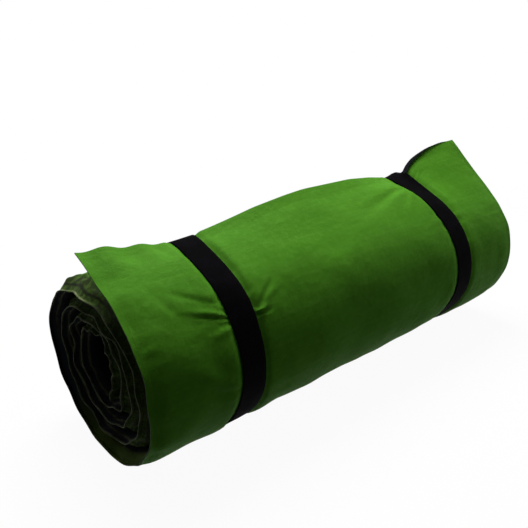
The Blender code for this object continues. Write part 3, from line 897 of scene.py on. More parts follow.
    def ground(self, x: Array) -> Array:
        """Lowest height of the outer fabric's outside, raised where a band runs under it."""
        band = self.bands.thickness + self.bands.gap + self.bands.ground_gap
        return band * self.bands.bed(x)

    def points(self, station: Station, across: Array, layer: Layer) -> Array:
        """World points of one line across the mat.

        Args:
            station: The line across the mat.
            across: Places across the flat mat.
            layer: Which surface of the mat.

        Returns:
            One point for each place.
        """
        run = self.run(station)
        swell = self.swelling(station, across)
        x = self.shifted(station, across, run)
        angle = self.angles(station, across)
        half = self.winding.half
        rise = self.edge_rise(station, across)
        outside = rise + (self.winding.fabric + self.seal) * (1.0 - swell)
        outside = outside * (1.0 - swell) + half * swell
        core_side = (rise - self.winding.fabric - self.seal) * (1.0 - swell) - half * swell
        touched = 1.0 - self.inner_share(station)
        if layer in (Layer.TOP_OUTSIDE, Layer.TOP_INSIDE):
            deep = self.bands.pinch + self.bands.top_pinch * self.on_top(station)
            bed = self.bands.bed(x) * deep * touched
            outside += (self.relief(station, x, angle, run) - bed) * swell
        if station.distance is not None:
            from_foot = np.abs(station.distance - self.winding.weld - self.winding.foot / 2.0)
            opened = self.foot_half * (1.0 - from_foot / (self.winding.foot / 2.0))
            at_foot = across > self.winding.half_width - self.winding.weld - self.foot_margin
            wanted = np.where(at_foot, opened, 0.0)
            outside = np.maximum(outside, rise + wanted + self.winding.fabric)
            core_side = np.minimum(core_side, rise - wanted - self.winding.fabric)
        waved = self.wave(station, across, run)
        depth = {
            Layer.TOP_OUTSIDE: 0.0,
            Layer.TOP_INSIDE: self.winding.fabric,
            Layer.FOAM_OUTSIDE: self.winding.fabric + self.foam_gap + self.foam_ease * touched,
        }
        ground = self.ground(x)
        if layer in depth:
            offset = outside + waved - depth[layer]
            ground = ground + depth[layer]
        else:
            above = {
                Layer.FOAM_INSIDE: self.winding.fabric + self.foam_gap,
                Layer.BASE_INSIDE: self.winding.fabric,
                Layer.BASE_OUTSIDE: 0.0,
            }
            offset = core_side + waved + above[layer]
            ground = ground + self.base_ground
        y, z = self.section(station, x, angle, offset)
        shift_y, shift_z = self.tuck(station, across, angle)
        y = y + shift_y
        z = z + shift_z + self.winding.axis_height
        bed = self.bands.bed(x)
        z = z - self.bands.top_dip * bed * self.on_top(station)
        from_near = (angle - self.near_dip_angle) / self.near_dip_reach
        z = z + self.near_dip * bed * touched * np.exp(-from_near * from_near)
        over = z - ground
        z = ground + 0.5 * (over + np.sqrt(over * over + self.ground_soft ** 2))
        return np.stack((x, y, z), axis=1)

    def section(
        self, station: Station, x: Array, angle: Array, offset: Array
    ) -> tuple[Array, Array]:
        """Section (y, z) of points at an offset outward from the mat's middle.

        Args:
            station: The line across the mat.
            x: Places along the roll.
            angle: Winding angles of the same places.
            offset: Offsets outward from the mat's middle.

        Returns:
            The two coordinates of each point, measured from the roll's axis.
        """
        if station.distance is not None:
            start, along, normal = self.winding.straight()
            y = start[0] + along[0] * station.distance + normal[0] * offset
            z = start[1] + along[1] * station.distance + normal[1] * offset
            return y, z
        lift = self.lift(x)
        held = np.maximum(angle, lift)
        y, z = self.winding.middle(held)
        along_y, along_z = self.winding.tangent(held)
        length = np.hypot(along_y, along_z)
        free = np.maximum(lift - angle, 0.0)
        normal_y, normal_z = -along_z / length, along_y / length
        flip = np.where(normal_y * y + normal_z * z < 0.0, -1.0, 1.0)
        back, rise = self.curled_hem(station, x, offset)
        along_y, along_z = along_y / length, along_z / length
        y = y + along_y * (free * length - back) + normal_y * flip * (offset + rise)
        z = z + along_z * (free * length - back) + normal_z * flip * (offset + rise)
        return y, z

    def curled_hem(self, station: Station, x: Array, offset: Array) -> tuple[Array, Array]:
        """How far the free end's hem is moved back and outward where it is curled over.

        Args:
            station: The line across the mat.
            x: Places along the roll.
            offset: Offsets outward from the mat's middle.

        Returns:
            The distances back from the free end and outward at each place, in metres.
        """
        path = station.turned * self.winding.outer_radius
        begun = smooth_step(x, self.hem_start_x, self.hem_blend)
        length = self.hem_curl * begun * np.clip((self.hem_end_x - x) / self.hem_fade, 0.0, 1.0)
        past = np.maximum(length - path, 0.0)
        turn = np.minimum(past / self.hem_radius, self.hem_turn)
        straight = np.maximum(past - self.hem_radius * self.hem_turn, 0.0)
        above = offset - self.weld_rise - self.end_rise
        forward = (self.hem_radius - above) * np.sin(turn) + straight * np.cos(turn)
        outward = self.hem_radius - (self.hem_radius - above) * np.cos(turn) - above
        return past - forward, outward + straight * np.sin(turn)


def stitched(first: Row, second: Row) -> list[tuple[int, ...]]:
    """Faces between two rows of (place, vertex) pairs, which may have different places.

    Args:
        first: One row.
        second: The next row.

    Returns:
        Four-sided faces where the places agree, and triangles elsewhere.
    """
    faces: list[tuple[int, ...]] = []
    a = b = 0
    while a < len(first) - 1 or b < len(second) - 1:
        next_a = first[a + 1][0] if a < len(first) - 1 else math.inf
        next_b = second[b + 1][0] if b < len(second) - 1 else math.inf
        if abs(next_a - next_b) < SAME_PLACE:
            faces.append((first[a][1], first[a + 1][1], second[b + 1][1], second[b][1]))
            a += 1
            b += 1
        elif next_a < next_b:
            faces.append((first[a][1], first[a + 1][1], second[b][1]))
            a += 1
        else:
            faces.append((first[a][1], second[b + 1][1], second[b][1]))
            b += 1
    return faces


@dataclass
class Cloth:
    """Closed thin shell between two surfaces that share their layout."""

    name: str
    outer: list[Array] = field(default_factory=list)
    inner: list[Array] = field(default_factory=list)
    rows: list[Row] = field(default_factory=list)
    places: list[tuple[float, float]] = field(default_factory=list)
    marks: dict[str, list[float]] = field(default_factory=dict)

    def add_row(self, outer: Array, inner: Array, across: Array, run: float, **marks: Array) -> None:
        """Adds one line of points.

        Args:
            outer: Points on the surface away from the core.
            inner: Points on the surface towards the core.
            across: Places across the flat cloth.
            run: Place along the flat cloth.
            marks: Values of each point that the finish reads, under their attributes' names.
        """
        first = len(self.places)
        self.rows.append([(float(place), first + i) for i, place in enumerate(across)])
        self.outer.append(outer)
        self.inner.append(inner)
        self.places += [(float(place), run) for place in across]
        for name, values in marks.items():
            self.marks.setdefault(name, []).extend(float(value) for value in values)

    def build(self, finishes: Sequence[bpy.types.Material]) -> bpy.types.Object:
        """Makes the object.

        Args:
            finishes: The finish of the faces, and of the rim if there is a second one.

        Returns:
            The new object, with its flat layout as UV map "cloth" and its marks as attributes.
        """
        count = len(self.places)
        points = np.vstack(self.outer + self.inner)
        skin: list[tuple[int, ...]] = []
        for first, second in zip(self.rows, self.rows[1:]):
            skin += stitched(first, second)
        edges = {(f[i], f[(i + 1) % len(f)]) for f in skin for i in range(len(f))}
        rim = sorted((a, b) for a, b in edges if (b, a) not in edges)
        faces = list(skin)
        faces += [tuple(count + v for v in reversed(f)) for f in skin]
        faces += [(b, a, count + a, count + b) for a, b in rim]
        mesh = bpy.data.meshes.new(self.name)
        mesh.from_pydata(points.tolist(), [], faces)
        for finish in finishes:
            mesh.materials.append(finish)
        slots = np.zeros(len(faces), np.int32)
        slots[2 * len(skin):] = len(finishes) - 1
        mesh.polygons.foreach_set("material_index", slots)
        layout = np.array(self.places + self.places)
        corners = np.zeros(len(mesh.loops), np.int32)
        mesh.loops.foreach_get("vertex_index", corners)
        cloth = mesh.uv_layers.new(name="cloth")
        cloth.data.foreach_set("uv", layout[corners].ravel())
        for name, values in self.marks.items():
            attribute = mesh.attributes.new(name, "FLOAT", "POINT")
            attribute.data.foreach_set("value", np.array(values + values, np.float32))
        return placed(self.name, mesh, sharp=50.0)


def placed(name: str, mesh: bpy.types.Mesh, sharp: float) -> bpy.types.Object:
    """Object at the origin for a closed mesh, faces outward, smooth except over sharp edges.

    Args:
        name: Name of the piece.
        mesh: Its mesh.
        sharp: Angle in degrees above which an edge stays sharp.

    Returns:
        The new object.
    """
    work = bmesh.new()
    work.from_mesh(mesh)
    bmesh.ops.recalc_face_normals(work, faces=work.faces)
    work.to_mesh(mesh)
    work.free()
    mesh.shade_smooth()
    mesh.set_sharp_from_angle(angle=math.radians(sharp))
    made = bpy.data.objects.new(name, mesh)
    bpy.context.scene.collection.objects.link(made)
    return made


class Shader:
    """Node tree of one finish, with its Principled shader and a few shorthands."""

    def __init__(self, name: str) -> None:
        """Makes an empty finish with that name.

        Args:
            name: Name of the finish.
        """
        self.material = bpy.data.materials.new(name)
        self.material.use_nodes = True
        self.tree = self.material.node_tree
        self.principled = self.tree.nodes["Principled BSDF"]

    def node(self, kind: str, **values: object) -> bpy.types.Node:
        """Adds a node.

        Args:
            kind: Blender's name of the node.
            values: Settings, and inputs named with an underscore for each space.

        Returns:
            The new node.
        """
        made = self.tree.nodes.new(kind)
        for key, value in values.items():
            if hasattr(made, key):
                setattr(made, key, value)
            else:
                made.inputs[key.replace("_", " ")].default_value = value
        return made

    def link(self, source: Socket, target: Socket) -> None:
        """Joins two sockets."""
        self.tree.links.new(source, target)

    def math(self, operation: str, first: Socket | float, second: Socket | float) -> Socket:
        """Math node on sockets or numbers.

        Args:
            operation: Blender's name of the operation.
            first: Socket or number.
            second: Socket or number.

        Returns:
            The result's socket.
        """
        made = self.tree.nodes.new("ShaderNodeMath")
        made.operation = operation
        for index, value in enumerate((first, second)):
            if isinstance(value, Socket):
                self.link(value, made.inputs[index])
            else:
                made.inputs[index].default_value = value
        return made.outputs[0]

    def noise(self, vector: Socket, scale: float, detail: float) -> Socket:
        """Noise value of a given scale.

        Args:
            vector: Layout or place that it reads.
            scale: Its lumps to the metre.
            detail: How many finer noises are added.

        Returns:
            The value's socket.
        """
        made = self.node("ShaderNodeTexNoise", Scale=scale, Detail=detail)
        self.link(vector, made.inputs["Vector"])
        return made.outputs["Fac"]

    def threads(self, vector: Socket, pitch: float, axis: str) -> Socket:
        """Round threads a pitch apart, lying side by side along one axis of a layout.

        Args:
            vector: Layout that it reads.
            pitch: Distance between threads, in metres.
            axis: Axis along which they lie side by side, "X" or "Y".

        Returns:
            The height's socket, 0 to 1.
        """
        made = self.node("ShaderNodeTexWave", bands_direction=axis, Scale=WAVE_SCALE / pitch)
        self.link(vector, made.inputs["Vector"])
        return made.outputs["Fac"]

    def layout(self, name: str) -> Socket:
        """The piece's own UV map."""
        return self.node("ShaderNodeUVMap", uv_map=name).outputs["UV"]

    def attribute(self, name: str) -> Socket:
        """A value that the piece's own mesh carries."""
        return self.node("ShaderNodeAttribute", attribute_name=name).outputs["Fac"]

    def mixed(self, share: Socket, first: Socket | Colour, second: Socket | Colour) -> Socket:
        """Colour between two, each a socket or three numbers.

        Args:
            share: Share of the second colour.
            first: Colour at share 0.
            second: Colour at share 1.

        Returns:
            The colour's socket.
        """
        made = self.node("ShaderNodeMix", data_type="RGBA")
        self.link(share, made.inputs["Factor"])
        for socket, value in ((made.inputs[6], first), (made.inputs[7], second)):
            if isinstance(value, Socket):
                self.link(value, socket)
            else:
                socket.default_value = (*value, 1.0)
        return made.outputs[2]

    def between(self, value: Socket, low: float, high: float, start: float, end: float) -> Socket:
        """Value moved from the range low to high to the range start to end.

        Args:
            value: The value.
            low: Where its range begins.
            high: Where its range ends.
            start: Result at low and below.
            end: Result at high and above.

        Returns:
            The result's socket.
        """
        made = self.node("ShaderNodeMapRange")
        self.link(value, made.inputs["Value"])
        for socket, number in zip(("From Min", "From Max", "To Min", "To Max"), (low, high, start, end)):
            made.inputs[socket].default_value = number
        return made.outputs["Result"]

    def bump(self, height: Socket, depth: float, below: Socket | None = None) -> Socket:
        """Bump of a depth in metres, laid over another.

        Args:
            height: Height of the form, 0 to 1.
            depth: Its full height, in metres.
            below: Normal of the bump that it lies on, if there is one.

        Returns:
            The normal's socket.
        """
        made = self.node("ShaderNodeBump", Strength=1.0, Distance=depth)
        self.link(height, made.inputs["Height"])
        if below is not None:
            self.link(below, made.inputs["Normal"])
        return made.outputs["Normal"]

    def finish(self, colour: Socket, roughness: Socket | float, normal: Socket) -> None:
        """Gives the shader its colour, roughness and normal.

        Args:
            colour: The colour's socket.
            roughness: Socket or number.
            normal: The normal's socket.
        """
        self.link(colour, self.principled.inputs["Base Color"])
        self.link(normal, self.principled.inputs["Normal"])
        if isinstance(roughness, Socket):
            self.link(roughness, self.principled.inputs["Roughness"])
        else:
            self.own(Roughness=roughness)

    def own(self, **values: float) -> None:
        """Sets numbers on the shader's own sockets, named with an underscore for each space."""
        for name, value in values.items():
            self.principled.inputs[name.replace("_", " ")].default_value = value


def background_rays(tree: bpy.types.NodeTree) -> Socket:
    """Adds the choice of the rays to which the background is white.

    Args:
        tree: Nodes of the floor's finish or of the surroundings.

    Returns:
        Socket with 1 for rays from the camera, from gloss and through glass, and 0 for others.
    """
    rays = tree.nodes.new("ShaderNodeLightPath")
    shown = rays.outputs["Is Camera Ray"]
    for kind in ("Is Glossy Ray", "Is Transmission Ray"):
        larger = tree.nodes.new("ShaderNodeMath")
        larger.operation = "MAXIMUM"
        tree.links.new(shown, larger.inputs[0])
        tree.links.new(rays.outputs[kind], larger.inputs[1])
        shown = larger.outputs[0]
    return shown


@dataclass(frozen=True)
class FabricFinish:
    """Plain-woven fabric with a coating behind it and a grid pressed into its welds.

    Threads and depths are in metres, and noises in lumps to the metre. What lies along a border is
    placed by its distance from the edge, in metres; a thin band of painted shade runs along every edge.
    The last colours are those of the tucked border: dust, darkened on the green fabric as painted
    shade, the cut rim, the green wrapped over it, spots of painted shade and a line along a crease,
    which is painted shadow on the green fabric and a pale line on the black one.
    """

    name: str
    colour: Colour
    shade: Colour
    pale: Colour
    dust_and_shade: Colour
    rim: Colour
    wrap: Colour
    shade_spot: Colour
    crease: Colour
    roughness: float
    sheen: float
    thread: float = 0.00045
    weft_ratio: float = 1.15
    weld: float = 0.0046
    weld_blend: float = 0.0006
    edge_shade_reach: tuple[float, float] = (0.0004, 0.0014)
    rim_reach: tuple[float, float] = (0.0011, 0.0022)
    crease_from: tuple[float, float] = (0.0054, 0.0062)
    crease_to: tuple[float, float] = (0.0072, 0.0082)
    dust_and_shade_reach: tuple[float, float] = (0.014, 0.032)
    blotches: float = 14.0
    grain: float = 320.0
    mottle: float = 170.0
    streaks: Place = (9.0, 260.0, 1.0)
    soil: float = 46.0
    shade_spots: float = 150.0
    waver: float = 60.0
    wavering: float = 0.0018
    rumple: float = 75.0
    dots: float = 620.0
    rumple_depth: float = 0.0010
    grain_depth: float = 0.00016
    dot_depth: float = 0.00020
    weave_depth: float = 0.00009
    sheen_roughness: float = 0.45
    specular: float = 0.03

    def build(self) -> bpy.types.Material:
        """Makes the finish.

        Returns:
            The new material.
        """
        shader = Shader(self.name)
        layout = shader.layout("cloth")
        warp = shader.threads(layout, self.thread, "X")
        weft = shader.threads(layout, self.thread * self.weft_ratio, "Y")
        weave = shader.math("MULTIPLY", warp, weft)
        blotches = shader.noise(layout, self.blotches, 3.0)
        grain = shader.noise(layout, self.grain, 4.0)
        mottle = shader.noise(layout, self.mottle, 3.0)
        streaked = shader.node("ShaderNodeMapping")
        streaked.inputs["Scale"].default_value = self.streaks
        shader.link(layout, streaked.inputs["Vector"])
        streaks = shader.noise(streaked.outputs["Vector"], 1.0, 3.0)
        hem, tucked = shader.attribute("hem"), shader.attribute("tucked")
        in_weld = shader.between(hem, self.weld, self.weld + self.weld_blend, 1.0, 0.0)
        soiled = shader.between(shader.noise(layout, self.soil, 3.0), 0.38, 0.60, 0.10, 1.0)
        inner_rim = shader.math("MULTIPLY", shader.between(hem, *self.rim_reach, 1.0, 0.0), tucked)
        inner_rim = shader.math("MULTIPLY", inner_rim, soiled)
        uneven = shader.noise(layout, self.waver, 2.0)
        uneven = shader.between(uneven, 0.0, 1.0, -self.wavering, self.wavering)
        wavy = shader.math("ADD", hem, uneven)
        # painted shadow along a crease on the green fabric; on the black fabric a pale line
        crease = shader.math("MULTIPLY", shader.between(wavy, *self.crease_from, 0.0, 1.0),
                             shader.between(wavy, *self.crease_to, 1.0, 0.0))
        # dust near the tucked hem, on the green fabric also darkened as painted shade
        near_hem = shader.math("MULTIPLY", shader.between(hem, *self.dust_and_shade_reach, 0.84, 0.0), tucked)
        # painted shade in random dark spots near the tucked hem
        shade_spotted = shader.between(shader.noise(layout, self.shade_spots, 4.0), 0.44, 0.54, 0.0, 0.95)
        colour = shader.mixed(shader.between(blotches, 0.3, 0.7, 0.0, 1.0), self.shade, self.colour)
        layers = (
            (shader.between(grain, 0.35, 0.7, 0.0, 0.32), self.shade),
            (shader.between(mottle, 0.40, 0.62, 0.0, 0.34), self.shade),
            (shader.between(mottle, 0.48, 0.36, 0.0, 0.16), self.pale),
            (shader.between(streaks, 0.45, 0.75, 0.0, 0.22), self.pale),
            (shader.between(weave, 0.0, 1.0, 0.16, 0.0), self.shade),
            (shader.math("MULTIPLY", in_weld, 0.25), self.shade),
            # painted shade: a thin darker band along every edge
            (shader.between(hem, *self.edge_shade_reach, 0.35, 0.0), self.shade),
            (near_hem, self.dust_and_shade),
            (shader.math("MULTIPLY", shade_spotted, near_hem), self.shade_spot),
            (shader.math("MULTIPLY", crease, tucked), self.crease),
            (shader.attribute("wrapped"), self.wrap),
            (inner_rim, self.rim),
        )
        for share, tint in layers:
            colour = shader.mixed(share, colour, tint)
        dots = shader.node("ShaderNodeTexVoronoi", Scale=self.dots, Randomness=0.0)
        shader.link(layout, dots.inputs["Vector"])
        pressed = shader.math("MULTIPLY", dots.outputs["Distance"], in_weld)
        normal = shader.bump(shader.noise(layout, self.rumple, 3.0), self.rumple_depth)
        normal = shader.bump(grain, self.grain_depth, normal)
        normal = shader.bump(pressed, self.dot_depth, normal)
        normal = shader.bump(weave, self.weave_depth, normal)
        rough = shader.between(grain, 0.3, 0.7, self.roughness - 0.05, self.roughness + 0.07)
        shader.finish(colour, rough, normal)
        shader.own(Sheen_Weight=self.sheen, Sheen_Roughness=self.sheen_roughness,
                   Specular_IOR_Level=self.specular)
        return shader.material


@dataclass(frozen=True)
class CutEdgeFinish:
    """Cut edge of the two welded fabrics, where threads and film show pale; painted shade darkens it on
    the outer turn.
    """

    name: str = "cut_edge"
    colour: Colour = (0.11, 0.14, 0.06)
    dark: Colour = (0.010, 0.015, 0.006)
    fray: float = 900.0
    wear: float = 38.0
    depth: float = 0.0002
    roughness: float = 0.6
    specular: float = 0.03

    def build(self) -> bpy.types.Material:
        """Makes the finish.

        Returns:
            The new material.
        """
        shader = Shader(self.name)
        layout = shader.layout("cloth")
        fray = shader.noise(layout, self.fray, 4.0)
        worn = shader.noise(layout, self.wear, 3.0)
        share = shader.math("ADD", shader.between(fray, 0.35, 0.65, 0.0, 0.5),
                            shader.between(worn, 0.4, 0.65, 0.0, 0.6))
        # painted shade: the outer turn's cut edge keeps only 0.12 of its pale threads
        unshaded_share = shader.between(shader.attribute("tucked"), 0.0, 0.6, 0.12, 1.0)
        share = shader.math("MULTIPLY", share, unshaded_share)
        colour = shader.mixed(share, self.dark, self.colour)
        shader.finish(colour, self.roughness, shader.bump(fray, self.depth))
        shader.own(Specular_IOR_Level=self.specular)
        return shader.material


@dataclass(frozen=True)
class ElasticFinish:
    """Knitted elastic band: ribs along its length, crossed by the knit's stitches."""

    name: str = "elastic_band"
    colour: Colour = (0.0011, 0.0009, 0.0013)
    worn: Colour = (0.0042, 0.0030, 0.0046)
    rib: float = 0.00135
    stitch: float = 0.00085
    fuzz: float = 1400.0
    wear: float = 60.0
    knit_depth: float = 0.00028
    fuzz_depth: float = 0.00012
    specular: float = 0.02

    def build(self) -> bpy.types.Material:
        """Makes the finish.

        Returns:
            The new material.
        """
        shader = Shader(self.name)
        layout = shader.layout("band")
        ribs = shader.threads(layout, self.rib, "X")
        stitches = shader.threads(layout, self.stitch, "Y")
        knit = shader.math("MULTIPLY", ribs, shader.between(stitches, 0.0, 1.0, 0.55, 1.0))
        fuzz = shader.noise(layout, self.fuzz, 3.0)
        wear = shader.noise(layout, self.wear, 4.0)
        colour = shader.mixed(shader.between(wear, 0.45, 0.7, 0.0, 0.7), self.colour, self.worn)
        colour = shader.mixed(shader.between(knit, 0.0, 1.0, 0.5, 0.0), colour, self.colour)
        normal = shader.bump(knit, self.knit_depth)
        normal = shader.bump(fuzz, self.fuzz_depth, normal)
        shader.finish(colour, shader.between(fuzz, 0.3, 0.7, 0.78, 0.95), normal)
        shader.own(Specular_IOR_Level=self.specular)
        return shader.material


@dataclass(frozen=True)
class GrainFinish:
    """Moulded, foamed or spun material with one grain, read at object coordinates."""

    name: str
    colour: Colour
    shade: Colour
    roughness: float
    grain: float
    depth: float
    cells: bool = False
    broader: float = 14.0
    spread: float = 0.06

    def build(self) -> bpy.types.Material:
        """Makes the finish.

        Returns:
            The new material.
        """
        shader = Shader(self.name)
        place = shader.node("ShaderNodeTexCoord").outputs["Object"]
        fine = shader.noise(place, self.grain, 4.0)
        broad = shader.noise(place, self.grain / self.broader, 3.0)
        height = fine
        if self.cells:
            bubbles = shader.node("ShaderNodeTexVoronoi", Scale=self.grain)
            shader.link(place, bubbles.inputs["Vector"])
            height = bubbles.outputs["Distance"]
        colour = shader.mixed(shader.between(height, 0.2, 0.8, 0.0, 1.0), self.shade, self.colour)
        colour = shader.mixed(shader.between(broad, 0.35, 0.65, 0.0, 0.35), colour, self.shade)
        rough = shader.between(fine, 0.3, 0.7, self.roughness - self.spread, self.roughness + self.spread)
        shader.finish(colour, rough, shader.bump(height, self.depth))
        return shader.material


GREEN = FabricFinish("green_fabric", (0.079, 0.268, 0.014), (0.061, 0.220, 0.010),
                     (0.130, 0.350, 0.040), (0.034, 0.046, 0.010), (0.17, 0.21, 0.09),
                     (0.061, 0.220, 0.010), (0.010, 0.016, 0.003), (0.008, 0.012, 0.003), 0.60, 0.008)
BLACK = FabricFinish("base_fabric", (0.0032, 0.0038, 0.0060), (0.0020, 0.0024, 0.0040),
                     (0.010, 0.012, 0.012), (0.0040, 0.0048, 0.0060), (0.19, 0.21, 0.12),
                     (0.090, 0.140, 0.024), (0.0020, 0.0024, 0.0040), (0.110, 0.122, 0.072), 0.64, 0.004)
RUBBER = GrainFinish("seal_rubber", (0.020, 0.020, 0.020), (0.012, 0.012, 0.012), 0.7, 2600.0, 4e-5)
PLASTIC = GrainFinish("valve_plastic", (0.020, 0.020, 0.022), (0.012, 0.012, 0.013), 0.42, 3200.0,
                      3e-5)
FOAM = GrainFinish("foam", (0.66, 0.60, 0.42), (0.34, 0.28, 0.16), 0.95, 900.0, 6e-4, True)
THREAD = GrainFinish("band_thread", (0.007, 0.006, 0.008), (0.003, 0.003, 0.004), 0.8, 5200.0, 5e-5)


@dataclass
class Mat:
    """The rolled mat: its two fabrics, welded round their border, and the foam between them."""

    surface: MatSurface = field(default_factory=MatSurface)
    plain_turned: float = 1.5
    foam_margin: float = 0.009
    foam_end: float = 0.07
    foam_places: tuple[float, float] = (0.045, 0.065)
    foam_steps: tuple[int, int] = (5, 18)

    def shell(
        self, name: str, outer: Layer, inner: Layer, finishes: Sequence[bpy.types.Material], fine: bool
    ) -> bpy.types.Object:
        """Makes one fabric.

        Args:
            name: Name of the piece.
            outer: Its surface away from the core.
            inner: Its surface towards the core.
            finishes: Its finishes.
            fine: Whether the outer turn is finely divided all across.

        Returns:
            The fabric.
        """
        cloth, surface = Cloth(name), self.surface
        coarse, dense = surface.columns(False), surface.columns(True)
        half = surface.winding.half_width
        radius = surface.winding.outer_radius
        dense_to = surface.grid.outer_turn if fine else self.plain_turned
        for station in surface.stations():
            on_outer = station.distance is None and station.turned <= dense_to
            across = dense if on_outer else coarse
            ends = station.turned * radius if station.distance is None else station.distance
            hem = np.minimum(half - np.abs(across), ends)
            cloth.add_row(
                surface.points(station, across, outer),
                surface.points(station, across, inner),
                across,
                surface.run(station),
                hem=hem,
                tucked=surface.tucked(station) * (across < 0.0),
                wrapped=surface.wrapped(station, across),
            )
        return cloth.build(finishes)

    def foam(self, finish: bpy.types.Material) -> bpy.types.Object:
        """Makes the foam between the fabrics, out to where the welds pinch it.

        Args:
            finish: Its finish.

        Returns:
            The foam.
        """
        cloth, surface = Cloth("foam_filling"), self.surface
        margin = surface.winding.weld + self.foam_margin
        half = surface.winding.half_width
        slope_end, middle = self.foam_places
        few, many = self.foam_steps
        across = np.concatenate((
            np.linspace(margin - half, slope_end - half, few),
            np.linspace(middle - half, half - middle, many),
            np.linspace(half - slope_end, half - margin, few),
        ))
        stations = [
            station for station in surface.stations()
            if (station.distance is None and station.turned > surface.end_weld + self.foam_end)
            or (station.distance is not None and station.distance > margin)
        ]
        kept = stations[:-1:2] + stations[-1:]
        for station in kept:
            cloth.add_row(
                surface.points(station, across, Layer.FOAM_OUTSIDE),
                surface.points(station, across, Layer.FOAM_INSIDE),
                across,
                surface.run(station),
            )
        return cloth.build((finish,))

    def build(self) -> None:
        """Makes the three pieces and puts them on the mat's body."""
        edge = CutEdgeFinish().build()
        green, black = GREEN.build(), BLACK.build()
        foam = self.foam(FOAM.build())
        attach(foam, "mat")
        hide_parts("foam_core")
        LOG.info("foam: %d faces", len(foam.data.polygons))
        top = self.shell("top_fabric", Layer.TOP_OUTSIDE, Layer.TOP_INSIDE, (green, edge), True)
        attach(top, "mat")
        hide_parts("top_panel")
        LOG.info("top fabric: %d faces", len(top.data.polygons))
        base = self.shell("base_fabric", Layer.BASE_INSIDE, Layer.BASE_OUTSIDE, (black, edge), False)
        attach(base, "mat")
        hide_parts("base_panel")
        LOG.info("base fabric: %d faces", len(base.data.polygons))


